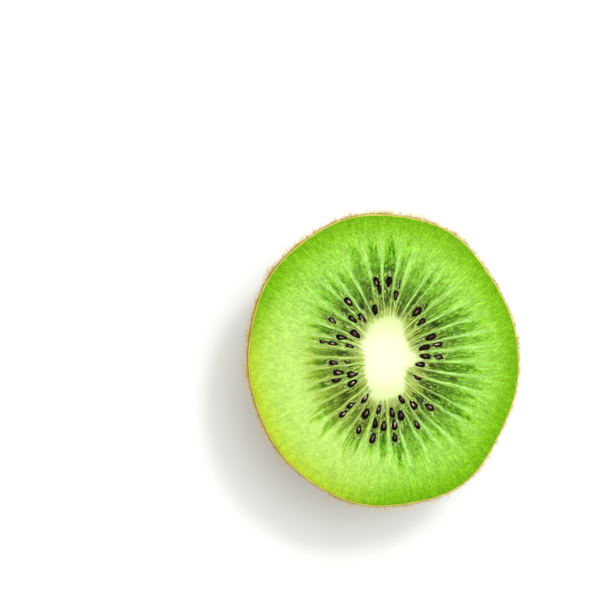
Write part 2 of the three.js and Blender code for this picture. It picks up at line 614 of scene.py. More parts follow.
@dataclass(frozen=True)
class Wire:
    """What a socket gives. Sums with a wire add the nodes that work them out to its tree."""

    GROUND, OVER, MIXED = 6, 7, 2  # places of the mix node's colour sockets, in and out

    socket: bpy.types.NodeSocket

    def into(
        self, kind: str, leaves: str | int, sources: "Sources", **settings: object
    ) -> "Wire":
        """Adds a node to the same tree, and gives the wire that leaves it by one of its sockets."""
        return Wire(add_node(self.socket.id_data, kind, sources, **settings).outputs[leaves])

    def work(self, operation: str, *terms: "Source") -> "Wire":
        """Works out a number from others, by Blender's name of the operation."""
        return self.into("ShaderNodeMath", 0, dict(enumerate(terms)), operation=operation)

    def __add__(self, other: "Source") -> "Wire":
        """Adds a number."""
        return self.work("ADD", self, other)

    def __sub__(self, other: "Source") -> "Wire":
        """Takes a number away."""
        return self.work("SUBTRACT", self, other)

    def __rsub__(self, other: float) -> "Wire":
        """Takes this away from a number."""
        return self.work("SUBTRACT", other, self)

    def __mul__(self, other: "Source") -> "Wire":
        """Multiplies by a number."""
        return self.work("MULTIPLY", self, other)

    def line(self, slope: "Source", base: float) -> "Wire":
        """Multiplies by a slope and adds the value at 0."""
        return self.work("MULTIPLY_ADD", self, slope, base)

    def limit(self, low: "Source", high: "Source") -> "Wire":
        """Stretches a number so that low gives 0 and high gives 1, and holds it there."""
        sources = {"Value": self, "From Min": low, "From Max": high}
        return self.into("ShaderNodeMapRange", "Result", sources, interpolation_type="SMOOTHSTEP")

    def mix(self, ground: "Source", over: "Source") -> "Wire":
        """Lays one colour over another, by this share from 0 to 1."""
        sources = {"Factor": self, self.GROUND: ground, self.OVER: over}
        return self.into("ShaderNodeMix", self.MIXED, sources, data_type="RGBA")

    def shade(self, strength: "Source") -> "Wire":
        """Makes a colour darker or lighter, where a strength of 1 leaves it as it is."""
        sources = {"Vector": self, "Scale": strength}
        return self.into("ShaderNodeVectorMath", "Vector", sources, operation="SCALE")

    def times(self, factors: "Source") -> "Wire":
        """Multiplies a vector or a colour, each of its three parts by its own factor."""
        sources = {0: self, 1: factors}
        return self.into("ShaderNodeVectorMath", "Vector", sources, operation="MULTIPLY")

    def ramp(self, stops: Stops) -> "Wire":
        """Turns a number into a colour by way of stops.

        Args:
            stops: Places from 0 to 1, in order, with their colours.

        Returns:
            The wire with the colour.
        """
        made = self.into("ShaderNodeValToRGB", "Color", {"Fac": self})
        elements = made.socket.node.color_ramp.elements
        while len(elements) < len(stops):
            elements.new(0.5)
        for element, (place, colour) in zip(elements, stops):
            element.position = place
            element.color = colour
        return made

    def bump(self, depth: float) -> "Wire":
        """Turns a height from 0 to 1 into a normal for relief of that depth in metres."""
        sources = {"Strength": 1.0, "Distance": depth, "Height": self}
        return self.into("ShaderNodeBump", "Normal", sources)


Source = Wire | float | tuple[float, ...]
Sources = Mapping[str | int, Source]


def layers(ground: Source, *coats: tuple[Wire, Source]) -> Source:
    """Lays coats of colour over a ground, each by its own share, from the lowest up."""
    return reduce(lambda below, coat: coat[0].mix(below, coat[1]), coats, ground)


class Effect(ABC):
    """A shader node group that several finishes share. Its settings are its fields."""

    NAME = ""
    NOISE: Mapping[str, float] = {}

    @abstractmethod
    def build(self, given: Mapping[str, Wire]) -> Wire:
        """Wires up the group's mask from what goes into it, by name."""

    def noise(self, given: Mapping[str, Wire]) -> Wire:
        """Adds the noise that the effect is made from."""
        sources = {"Scale": given["Size"].work("DIVIDE", 1.0, given["Size"]), **self.NOISE}
        return given["Place"].into("ShaderNodeTexNoise", "Fac", {0: given["Place"], **sources})

    def tree(self) -> bpy.types.NodeTree:
        """Finds the group, or builds it for the first finish that asks for it.

        Returns:
            The group's tree, with a Place and the effect's settings going in and a Mask out.
        """
        tree = bpy.data.node_groups.get(self.NAME)
        if tree is None:
            tree = bpy.data.node_groups.new(self.NAME, "ShaderNodeTree")
            number, add = "NodeSocketFloat", tree.interface.new_socket
            add("Place", in_out="INPUT", socket_type="NodeSocketVector")
            for item in fields(self):
                made = add(item.name.title(), in_out="INPUT", socket_type=number)
                made.default_value = item.default
            add("Mask", in_out="OUTPUT", socket_type=number)
            given = add_node(tree, "NodeGroupInput").outputs
            mask = self.build({name: Wire(socket) for name, socket in given.items()})
            add_node(tree, "NodeGroupOutput", {"Mask": mask})
        return tree

    def over(self, place: Wire) -> Wire:
        """Adds the effect to a material, over places in the same unit as its size."""
        sources = {"Place": place} | {name.title(): value for name, value in vars(self).items()}
        return place.into("ShaderNodeGroup", "Mask", sources, node_tree=self.tree())


@dataclass(frozen=True)
class Cells(Effect):
    """The fine grain of cells: mottled at two sizes, from 0 to 1 about a mean of 0.5."""

    NAME = "Cell grain"
    NOISE = {"Detail": 2.5, "Roughness": 0.7}
    MEAN = 0.5
    size: float = 0.4 * MM
    contrast: float = 1.0

    def build(self, given: Mapping[str, Wire]) -> Wire:
        """Stretches noise about its mean, and clamps it."""
        sources = {0: (self.noise(given) - self.MEAN) * given["Contrast"], 1: self.MEAN}
        return given["Place"].into("ShaderNodeMath", 0, sources, operation="ADD", use_clamp=True)


@dataclass(frozen=True)
class Patches(Effect):
    """Soft patches: 1 inside a patch, 0 outside, with a blurred edge."""

    NAME = "Soft patches"
    NOISE = {"Detail": 3.0}
    size: float = 4 * MM
    share: float = 0.5  # of the surface that they cover
    softness: float = 0.1

    def build(self, given: Mapping[str, Wire]) -> Wire:
        """Cuts noise off at the level that leaves the share."""
        level, softness = 1.0 - given["Share"], given["Softness"]
        return self.noise(given).limit(level - softness, level + softness)


class Finish(ABC):
    """A finish. Its fields are its settings, and each kind wires them up in its own way."""

    NAME = ""

    @cached_property
    def material(self) -> bpy.types.Material:
        """The finish's new material.

        Returns:
            The material, with an empty tree.
        """
        material = bpy.data.materials.new(self.NAME)
        material.use_nodes = True
        material.node_tree.nodes.clear()
        return material

    def given(self, kind: str, leaves: str, **settings: object) -> Wire:
        """Adds a node that needs nothing, and gives the wire that leaves it."""
        return Wire(add_node(self.material.node_tree, kind, **settings).outputs[leaves])

    def mask(self, name: str) -> Wire:
        """Reads a mask that the mesh carries."""
        return self.given("ShaderNodeAttribute", "Fac", attribute_name=name)

    @cached_property
    def place(self) -> Wire:
        """The place in metres of the point that is shaded."""
        return self.given("ShaderNodeTexCoord", "Object")

    @abstractmethod
    def sockets(self) -> dict[str, Source]:
        """Wires up the finish, and gives what goes into the shader's sockets, by name."""

    def make(self) -> bpy.types.Material:
        """Builds the material.

        Returns:
            The material, which ends in a Principled shader.
        """
        tree = self.material.node_tree
        shader = add_node(tree, "ShaderNodeBsdfPrincipled", self.sockets())
        add_node(tree, "ShaderNodeOutputMaterial", {"Surface": Wire(shader.outputs["BSDF"])})
        return self.material


# ---------------- the cut face


class Mark(StrEnum):
    """The masks on the cut face, by the name that the flesh's finish reads them by."""

    OUT = auto()
    # painted light: the paler side where light seems to shine through the flesh
    GLOW = auto()
    CORE = auto()
    OLIVE = auto()
    CHAMBER = auto()
    ALONG = auto()
    WALL = auto()
    FIBRE = auto()
    HALO = auto()
    BURIED = auto()
    NEAR_SEED = auto()
    STREAK_WAY = auto()


@dataclass(frozen=True)
class Variety:
    """Ranges that each chamber's own features are drawn from, in the order of the draws."""

    tone: Span = (0.5, 1.0)  # how dark its green is
    start: Span = (-0.35 * MM, 0.35 * MM)  # how much later than usual it begins
    tongue: Span = (0.2, 1.0)  # how far the core's cream runs out along its walls
    fibre_a: Span = (-0.62, -0.1)  # where its two fibres lie, in half widths of the chamber
    fibre_b: Span = (0.1, 0.62)
    fibre_a_tone: Span = (0.2, 1.0)
    fibre_b_tone: Span = (0.0, 1.0)
    wall_tone: Span = (0.45, 1.1)
    narrow: Span = (0.86, 1.0)
    lean: Span = (-0.12, 0.12)  # how far off its middle line it lies, in half widths

    def draw(self, rng: np.random.Generator, count: int) -> dict[str, Array]:
        """Draws the features of a number of chambers, by name."""
        return {item.name: rng.uniform(*getattr(self, item.name), count) for item in fields(self)}


@dataclass(frozen=True)
class CutSpots:
    """Where points of the cut face lie, about the core's middle and in their own chambers."""

    away: Array  # x and y
    radius: Array
    angle: Array  # with the wander of the walls
    way: Array  # the same angle with the bend of the walls taken out
    beyond: Array  # how far outside the core's edge
    chamber: Array  # the chamber's number
    room: Array  # half the chamber's width
    side: Array  # how far beside its middle line
    reach: Array  # the way out along its hollow, from 0 to 1
    along: Array  # and along its green

    @property
    def to_wall(self) -> Array:
        """How far each point lies from the nearest wall."""
        return self.room - np.abs(self.side)


@dataclass(frozen=True)
class CutPattern:
    """Where core, walls, seed chambers and fibres show on the cut face."""

    plan: FruitPlan
    variety: Variety = Variety()
    wander: float = 0.15 * MM  # how far walls stray sideways
    wander_cell: float = 2.4 * MM
    overreach: float = 1.2  # the chambers' green goes further out than their hollows
    reach_turns: tuple[Span, ...] = ((200, 0.12), (-12, 0.12), (262, -0.06))  # degrees, more
    reach_turn_width: float = 0.75  # radians
    wall_near: float = 0.11 * MM  # a wall's half width by the core
    wall_far: float = 0.28 * MM  # and at the chambers' outer ends
    wall_swell: float = 1.3  # how late on the way out it widens
    wall_start: float = 1.2 * MM  # outside the core, where it shows fully
    wall_end: Span = (1.0, 0.7)  # along the chamber, where it fades in from the outer end
    fray: float = 0.5 * MM  # how far streaks eat into the chambers' sides
    tip_fray: float = 0.36  # and into their outer ends, as a share of the way
    tip_end: Span = (1.03, 0.66)  # along the chamber, where its green fades in from outside
    tip_bluntness: float = 5
    tone_start: Span = (0.1, 0.6)  # along the chamber, where its own tone sets in
    lobe: float = 0.9 * MM  # length of a chamber's rounded inner end
    side_softness: float = 0.07 * MM
    side_softer: float = 0.34 * MM  # and how much softer its sides are at the outer end
    fibre: float = 0.095 * MM
    fibre_start: Span = (-0.5 * MM, 0.3 * MM)  # outside the core
    fibre_end: Span = (5.5 * MM, 1.5 * MM)
    olive_end: Span = (2.8 * MM, 0.3 * MM)
    cream: Oval = Oval(4.45 * MM, 8.0 * MM, 2.15, -8)  # the pale heart of the core
    cream_edge: Span = (0.6 * MM, -1.0 * MM)  # outside that oval
    cream_bulge: float = 1.7 * MM
    bulge_side: float = -11.0  # degrees from +X
    bulge_width: float = 0.24  # radians
    tongue: float = 0.45 * MM  # how far the core's cream runs out along a wall
    tongue_width: float = 0.22 * MM
    ragged: tuple[tuple[int, float, float], ...] = (
        (2, 1.1 * MM, 0.35 * MM),  # the cream's raggedness: number of the noise, cell and depth
        (5, 3.5 * MM, 0.6 * MM),
    )
    glow_side: float = 203.0  # degrees from +X to the side with the painted glow, as if light shone through the flesh
    glow_start: float = 0.15  # cosines of the turn from that side, where it begins
    glow_full: float = 0.98  # and where it is complete
    glow_narrower: float = 0.35  # how much later it begins at the rim
    glow_rim: Span = (0.75, 1.0)  # shares of the way out to the rim
    ghost_seeds: int = 24  # seeds that lie under the cut and show as smudges
    ghost_half_length: float = 1.0 * MM
    ghost_half_width: float = 0.5 * MM
    ghost_beyond: Span = (1.8, 8.5)  # millimetres outside the core
    ghost_side: float = 0.3  # millimetres beside the chamber's middle line, at most
    ghost_turn: float = 0.3  # radians
    ghost_tone: Span = (0.35, 0.95)
    ghost_blur: Span = (1.25, 0.55)  # in seed sizes from the smudge's middle
    seed_half_length: float = 1.05 * MM
    seed_half_width: float = 0.6 * MM
    halo_place: float = 1.3  # in seed sizes from the seed's middle
    halo_width: float = 0.2
    near_seed: Span = (2.7, 1.2)
    streak_turns: float = 9.0
    streak_stretch: float = 0.08 / MM
    streak_cell: tuple[float, float, float] = (0.2, 0.2, 0.3)
    seed: int = 11

    @cached_property
    def drawn(self) -> dict[str, Array]:
        """Draws what differs from chamber to chamber."""
        return self.variety.draw(np.random.default_rng(self.seed), self.plan.chambers)

    def spots(self, points: Array) -> CutSpots:
        """Finds out where points lie.

        Args:
            points: Points on the cut face, one row each.

        Returns:
            Their places about the core and in their chambers.
        """
        plan = self.plan
        away = points[:, :2] - plan.core_middle
        radius = np.hypot(away[:, 0], away[:, 1])
        stray = self.wander * self.noise(1, self.wander_cell, away)
        angle = np.arctan2(away[:, 1], away[:, 0])
        angle = angle + stray / np.maximum(radius, plan.core.half_width)
        inner = plan.core.edge(angle) + plan.chamber_start
        end = plan.chambers_end(angle)
        way = plan.unbent(angle, (radius - inner) / (end - inner))
        walls, _, reaches = plan.drawn
        turned = (way - walls[0]) % FULL_TURN + walls[0]
        k = np.clip(np.searchsorted(walls, turned, side="right") - 1, 0, plan.chambers - 1)
        room = (plan.next_walls(walls) - walls)[k] / 2 * radius
        side = (turned - plan.middles(walls)[k]) * radius
        reach = (radius - inner) / (end + reaches[k] - inner)
        overreach = self.overreach + sum(
            more * hump(self.turn_from(heading, angle), self.reach_turn_width)
            for heading, more in self.reach_turns
        )
        along = np.clip(reach / overreach, 0, 1)
        beyond = radius - plan.core.edge(angle)
        return CutSpots(away, radius, angle, way, beyond, k, room, side, reach, along)

    @staticmethod
    def turn_from(heading: float, angle: Array) -> Array:
        """How far angles are turned from a heading in degrees, up to half a turn either way."""
        return (angle - math.radians(heading) + math.pi) % FULL_TURN - math.pi

    def noise(self, number: int, cell: float, away: Array) -> Array:
        """Reads one of the pattern's own noises at flat places."""
        flat = np.column_stack([away, np.zeros(len(away))])
        return SmoothNoise(self.seed + number, cell).at(flat)

    def streak_way(self, spots: CutSpots) -> Array:
        """Coordinates in which round noise comes out as streaks that run from the core."""
        return polar(spots.way, self.streak_turns, self.streak_stretch * spots.radius)

    def marks(self, points: Array) -> dict[str, Array]:
        """Works out the masks.

        Args:
            points: Points on the cut face, one row each.

        Returns:
            One value, or one vector, for each point and mark, by the mark's name. Two extra
            marks serve the relief: "reach" runs from 0 to 1 out along the hollows, and
            "hollow" is 1 inside them.
        """
        spots = self.spots(points)
        streak_way = self.streak_way(spots)
        streaks = SmoothNoise(self.seed + 4, self.streak_cell).at(streak_way)
        ragged = sum(
            self.noise(number, cell, spots.away) * depth for number, cell, depth in self.ragged
        )
        olive = ease(*self.olive_end, spots.beyond + 2 * ragged + MM * streaks)
        nearest = self.nearest_seed(spots.away)
        hollow, depth = self.chamber_marks(spots, streaks)
        return {
            Mark.GLOW: self.glow(spots),
            Mark.CORE: self.core(spots, ragged),
            Mark.OLIVE: olive * (spots.beyond > -MM),
            Mark.CHAMBER: hollow * depth,
            Mark.ALONG: spots.along,
            Mark.WALL: self.walls(spots),
            Mark.FIBRE: self.fibres(spots),
            Mark.HALO: hump(nearest - self.halo_place, self.halo_width),
            Mark.BURIED: self.buried(spots.away),
            Mark.NEAR_SEED: ease(*self.near_seed, nearest),
            Mark.STREAK_WAY: streak_way,
            "reach": spots.reach,
            "hollow": hollow,
        }

    def wall_half(self, along: Array) -> Array:
        """Half the width of the walls at points along them."""
        return self.wall_near + (self.wall_far - self.wall_near) * along**self.wall_swell

    def chamber_marks(self, spots: CutSpots, streaks: Array) -> tuple[Array, Array]:
        """Works out the seed chambers.

        Args:
            spots: Where the points lie.
            streaks: A noise that runs out from the core, from -1 to 1.

        Returns:
            For each point 1 inside a chamber and 0 outside, and how strong its green is.
        """
        drawn, k, along = self.drawn, spots.chamber, spots.along
        start = np.clip((spots.beyond - drawn["start"][k]) / self.lobe, 0, 1)
        lobe = np.sqrt(np.maximum(1 - (1 - start) ** 2, 0))
        width = spots.room * (1 - along**self.tip_bluntness) * drawn["narrow"][k]
        width = (width - self.wall_half(along)) * lobe + self.fray * streaks * along
        soft = self.side_softness + self.side_softer * along**2
        aside = np.abs(spots.side - drawn["lean"][k] * spots.room)
        tone = 1 - (1 - drawn["tone"][k]) * ease(*self.tone_start, along)
        depth = tone * ease(*self.tip_end, along + self.tip_fray * streaks)
        return ease(-1, 1, (width - aside) / soft), depth

    def walls(self, spots: CutSpots) -> Array:
        """Works out the pale walls between the chambers.

        Args:
            spots: Where the points lie.

        Returns:
            How clearly a wall shows at each point, from 0 to 1.
        """
        wall = hump(spots.to_wall, self.wall_half(spots.along))
        wall = wall * ease(*self.wall_end, spots.along) * ease(0, self.wall_start, spots.beyond)
        return np.clip(wall * self.drawn["wall_tone"][spots.chamber], 0, 1)

    def fibres(self, spots: CutSpots) -> Array:
        """Works out the fine fibres inside the chambers.

        Args:
            spots: Where the points lie.

        Returns:
            How clearly a fibre shows at each point, from 0 to 1.
        """
        drawn, k = self.drawn, spots.chamber
        fibres = sum(
            drawn[name + "_tone"][k] * hump(spots.side - drawn[name][k] * spots.room, self.fibre)
            for name in ("fibre_a", "fibre_b")
        )
        fade = ease(*self.fibre_end, spots.beyond) * ease(*self.fibre_start, spots.beyond)
        return np.clip(fibres, 0, 1) * fade

    def core(self, spots: CutSpots, ragged: Array) -> Array:
        """Works out the cream of the core.

        Args:
            spots: Where the points lie.
            ragged: How far its edge is pushed in at each point.

        Returns:
            A value for each point, from 0 outside to 1 in the cream.
        """
        tongue = self.tongue * self.drawn["tongue"][spots.chamber]
        tongue = tongue * hump(spots.to_wall, self.tongue_width)
        turn = spots.angle - math.radians(self.bulge_side)
        bulge = self.cream_bulge * hump(turn, self.bulge_width)
        outside = spots.radius - self.cream.edge(spots.angle) - bulge - tongue + ragged
        return ease(*self.cream_edge, outside)

    def glow(self, spots: CutSpots) -> Array:
        """Works out the painted glow: a side painted paler, as if light shone through, narrower at
        the rim.

        Args:
            spots: Where the points lie.

        Returns:
            A value for each point, from 0 to 1 on that side.
        """
        out = (spots.away + self.plan.core_middle - self.plan.fruit_middle).T
        rim = self.plan.form.outline(np.arctan2(out[1], out[0]))
        narrower = self.glow_narrower * ease(*self.glow_rim, np.hypot(out[0], out[1]) / rim)
        toward = np.cos(spots.angle - math.radians(self.glow_side))
        return ease(self.glow_start + narrower, self.glow_full, toward)

    @staticmethod
    def seed_distance(away: Array, place: SeedPlace, length: float, width: float) -> Array:
        """Measures from the middle of a seed of a half length and width, where 1 is its edge."""
        local = spun(spun(away, -place.angle) - (place.radius, place.side), -place.turn)
        return np.hypot(local[:, 0] / length, local[:, 1] / width)

    def nearest_seed(self, away: Array) -> Array:
        """Measures from the nearest seed's middle.

        Args:
            away: Points about the core's middle, x and y.

        Returns:
            The distance of each point, in sizes of that seed.
        """
        nearest = np.full(len(away), np.inf)
        for place in self.plan.drawn[1]:
            sizes = (self.seed_half_length * place.size, self.seed_half_width * place.size)
            nearest = np.minimum(nearest, self.seed_distance(away, place, *sizes))
        return nearest

    def buried(self, away: Array) -> Array:
        """Works out the smudges of the seeds that lie just under the cut.

        Args:
            away: Points about the core's middle, x and y.

        Returns:
            How dark each point is, from 0 to 1.
        """
        rng = np.random.default_rng(self.seed + 3)
        middles = self.plan.middles(self.plan.drawn[0])
        sizes = (self.ghost_half_length, self.ghost_half_width)
        total = np.zeros(len(away))
        for chamber in rng.choice(middles, self.ghost_seeds, replace=False):
            beyond = rng.uniform(*self.ghost_beyond) * MM
            side = rng.uniform(-self.ghost_side, self.ghost_side) * MM
            turn = rng.uniform(-self.ghost_turn, self.ghost_turn)
            place = self.plan.seed_place(chamber, beyond, side, 1.0, turn)
            blurred = ease(*self.ghost_blur, self.seed_distance(away, place, *sizes))
            total = np.maximum(total, rng.uniform(*self.ghost_tone) * blurred)
        return total


@dataclass(frozen=True)
class FleshFinish(Finish):
    """Moist green flesh round a creamy core."""

    NAME = "Flesh"
    fresh_side: Stops = (
        (0.5, dye(136, 190, 64)),
        (0.72, dye(148, 203, 76)),
        (0.84, dye(138, 195, 52)),
        (0.92, dye(118, 180, 10)),
        (1.0, dye(104, 162, 0)),
    )
    # painted glow: paler colours on the side where light seems to shine through
    painted_glow_stops: Stops = (
        (0.5, dye(164, 206, 84)),
        (0.7, dye(184, 219, 110)),
        (0.86, dye(174, 210, 88)),
        (0.94, dye(172, 206, 60)),
        (1.0, dye(174, 196, 36)),
    )
    pulp: Stops = (
        (0.0, dye(104, 116, 34)),
        (0.12, dye(50, 62, 6)),
        (0.34, dye(42, 74, 0)),
        (0.5, dye(58, 114, 0)),
        (0.66, dye(78, 146, 0)),
        (0.85, dye(98, 170, 4)),
        (1.0, dye(110, 176, 12)),
    )
    wall: Stops = (
        (0.0, dye(206, 216, 148)),
        (0.2, dye(178, 206, 138)),
        (0.6, dye(168, 216, 124)),
        (1.0, dye(158, 212, 88)),
    )
    torn_cells: Dye = dye(122, 178, 44)
    # painted shade: near-black crevices in the chambers
    painted_crevice_shade: Dye = dye(12, 20, 0)
    # painted highlight: pale wet glints in the chambers
    glint: Dye = dye(214, 236, 186)
    # painted glow in the chambers' outer ends on the glowing side
    painted_glow_pulp: Dye = dye(140, 174, 56)
    fibre: Dye = dye(198, 216, 130)
    olive: Dye = dye(172, 186, 90)
    olive_share: float = 0.86
    halo: Dye = dye(120, 148, 64)
    halo_share: float = 0.7
    smudge: Dye = dye(28, 36, 4)
    speck: Dye = dye(206, 236, 148)
    core_edge: Dye = dye(210, 234, 158)
    core_heart: Dye = dye(238, 244, 206)
    core_heart_reach: Span = (0.3, 0.08)  # shares of the way out to the skin

    untinted: Dye = (1.0, 1.0, 1.0, 1.0)
    deep_tint: Dye = (0.96, 1.0, 0.3, 1.0)  # in the chambers
    painted_glow_tint: Dye = (0.92, 0.78, 0.72, 1.0)  # painted glow, in a band on the chambers of the glowing side
    painted_glow_band_outside: Span = (0.62, 0.54)  # shares of the way out to the skin
    painted_glow_band_inside: Span = (0.3, 0.4)

    grain: Cells = Cells(0.26 * MM, 3.0)
    clouds: Cells = Cells(1.3 * MM, 2.4)
    mottle: Patches = Patches(0.42 * MM, 0.44, 0.07)
    mottle_share: float = 0.2
    streaks: Cells = Cells(0.2, 2.2)  # this and the next two in the streaks' own coordinates
    strokes: Cells = Cells(0.2, 4.5)
    flecks: Cells = Cells(0.2, 5.0)
    stroke_squeeze: tuple[float, float, float] = (1.0, 1.0, 2.6)
    fleck_squeeze: tuple[float, float, float] = (0.95, 0.95, 2.8)
    stroke_light: Line = (1.3, 0.3)
    pale_strokes: Span = (0.75, 1.0)
    pale_stroke_share: float = 0.35
    fleck_reach: Span = (0.95, 0.42)  # along the chambers
    dark_flecks: Span = (0.4, 0.05)
    dark_fleck_share: Line = (0.3, 0.62)  # painted shade in crevices, more near a seed
    pale_flecks: Span = (0.75, 1.0)
    pale_fleck_share: Line = (0.6, 0.25)  # painted glints, more near a seed
    painted_glow_reach: Span = (0.6, 0.95)  # along the chambers, for the painted glow
    painted_glow_share: float = 0.75

    # How far each unevenness swings the light, and how the side with the painted glow and the
    # chambers calm it.
    streak_reach: Span = (0.85, 0.45)  # shares of the way out to the skin
    streak_swing: Line = (0.55, 0.4)
    streak_calm: Line = (-0.55, 1.0)
    grain_swing: Line = (-0.08, 0.42)
    grain_calm: Line = (-0.45, 1.0)
    cloud_swing: float = 0.22
    stroke_swing: Line = (-0.1, 0.19)
    speck_share: Line = (-0.2, 0.2)
    speck_reach: Span = (1.15, 0.8)  # shares of the way out to the skin
    speck_grain: Span = (0.5, 1.0)

    roughness: Line = (0.12, 0.36)  # over the grain
    specular: float = 0.03
    wetness: float = 0.12
    coat_roughness: float = 0.16
    coat_index: float = 1.35
    subsurface: float = 0.08
    scatter: float = 0.8 * MM
    scatter_colour: tuple[float, float, float] = (0.7, 1.0, 0.35)
    grain_depth: float = 0.03 * MM

    @cached_property
    def marks(self) -> dict[Mark, Wire]:
        """The wires of the masks that the cut face carries."""
        return {mark: self.mask(mark) for mark in Mark if mark is not Mark.STREAK_WAY}

    @cached_property
    def streak_way(self) -> Wire:
        """Coordinates in which round grain comes out as streaks that run from the core."""
        return self.given("ShaderNodeAttribute", "Vector", attribute_name=Mark.STREAK_WAY)

    @cached_property
    def grain_mask(self) -> Wire:
        """The mask of the flesh's grain."""
        return self.grain.over(self.place)

    @cached_property
    def stroke_mask(self) -> Wire:
        """The mask of short streaks."""
        return self.strokes.over(self.streak_way.times(self.stroke_squeeze))

    def sockets(self) -> dict[str, Source]:
        """Wires up the flesh.

        Returns:
            What feeds the shader's sockets, by name.
        """
        grain, out = self.grain_mask, self.marks[Mark.OUT]
        chamber, core = self.marks[Mark.CHAMBER], self.marks[Mark.CORE]
        specks = chamber.line(*self.speck_share) * out.limit(*self.speck_reach)
        specks = grain.limit(*self.speck_grain) * specks
        cream = out.limit(*self.core_heart_reach).mix(self.core_edge, self.core_heart)
        colour = self.dyed(self.pulp_colour()).shade(self.light())
        wet = chamber.work("MAXIMUM", chamber, self.marks[Mark.OLIVE])
        return {
            "Base Color": layers(colour, (specks, self.speck), (core, cream)),
            "Roughness": grain.line(*self.roughness),
            "Specular IOR Level": self.specular,
            "Coat Weight": wet * self.wetness,
            "Coat Roughness": self.coat_roughness,
            "Coat IOR": self.coat_index,
            "Subsurface Weight": self.subsurface,
            "Subsurface Radius": self.scatter_colour,
            "Subsurface Scale": self.scatter,
            "Normal": grain.bump(self.grain_depth),
        }

    def pulp_colour(self) -> Wire:
        """Colours the wet, torn green of the chambers.

        Returns:
            The wire with the colour.
        """
        along, near_seed = self.marks[Mark.ALONG], self.marks[Mark.NEAR_SEED]
        mottle = self.mottle.over(self.place) * self.mottle_share
        pulp = mottle.mix(along.ramp(self.pulp), self.torn_cells)
        pulp = pulp.shade(self.stroke_mask.line(*self.stroke_light))
        strokes = self.stroke_mask.limit(*self.pale_strokes) * self.pale_stroke_share
        flecks = self.flecks.over(self.streak_way.times(self.fleck_squeeze))
        inner = along.limit(*self.fleck_reach)
        # painted shade in crevices between the torn cells
        dark = flecks.limit(*self.dark_flecks) * inner * near_seed.line(*self.dark_fleck_share)
        # painted glints on the wet cells
        pale = flecks.limit(*self.pale_flecks) * inner * near_seed.line(*self.pale_fleck_share)
        # painted glow: paler outer ends of the chambers on the glowing side
        painted_glow = self.marks[Mark.GLOW] * along.limit(*self.painted_glow_reach) * self.painted_glow_share
        return layers(
            pulp,
            (strokes, self.torn_cells),
            (dark, self.painted_crevice_shade),
            (pale, self.glint),
            (painted_glow, self.painted_glow_pulp),
        )

    def dyed(self, pulp: Wire) -> Wire:
        """Colours the flesh by its marks, and tints the chambers.

        Args:
            pulp: The colour of the chambers.

        Returns:
            The wire with the colour.
        """
        marks = self.marks
        out, glow, chamber = marks[Mark.OUT], marks[Mark.GLOW], marks[Mark.CHAMBER]
        colour = layers(
            out.ramp(self.fresh_side),
            # painted glow: the paler side, as if light shone through the flesh
            (glow, out.ramp(self.painted_glow_stops)),
            (chamber, pulp),
            (marks[Mark.OLIVE] * self.olive_share, self.olive),
            (marks[Mark.BURIED], self.smudge),
            (marks[Mark.WALL], marks[Mark.ALONG].ramp(self.wall)),
            (marks[Mark.HALO] * self.halo_share, self.halo),
            (marks[Mark.FIBRE], self.fibre),
        )
        # painted glow tint in a band on the glowing side
        band = out.limit(*self.painted_glow_band_outside) * out.limit(*self.painted_glow_band_inside)
        deep = (chamber * (1.0 - marks[Mark.OLIVE])).mix(self.untinted, self.deep_tint)
        return colour.times(deep).times((glow * band).mix(self.untinted, self.painted_glow_tint))

    def light(self) -> Wire:
        """Works out how much lighter or darker than its dye each point is.

        Returns:
            The wire with the light, about 1.
        """
        glow, chamber = self.marks[Mark.GLOW], self.marks[Mark.CHAMBER]
        inward = self.marks[Mark.OUT].limit(*self.streak_reach)
        streak_swing = inward.line(*self.streak_swing) * glow.line(*self.streak_calm)
        grain_swing = chamber.line(*self.grain_swing) * glow.line(*self.grain_calm)
        swings = (
            (self.streaks.over(self.streak_way), streak_swing),
            (self.grain_mask, grain_swing),
            (self.clouds.over(self.place), self.cloud_swing),
            (self.stroke_mask, glow.line(*self.stroke_swing)),
        )
        parts = ((mask - Cells.MEAN).line(spread, 1.0) for mask, spread in swings)
        return reduce(Wire.__mul__, parts)


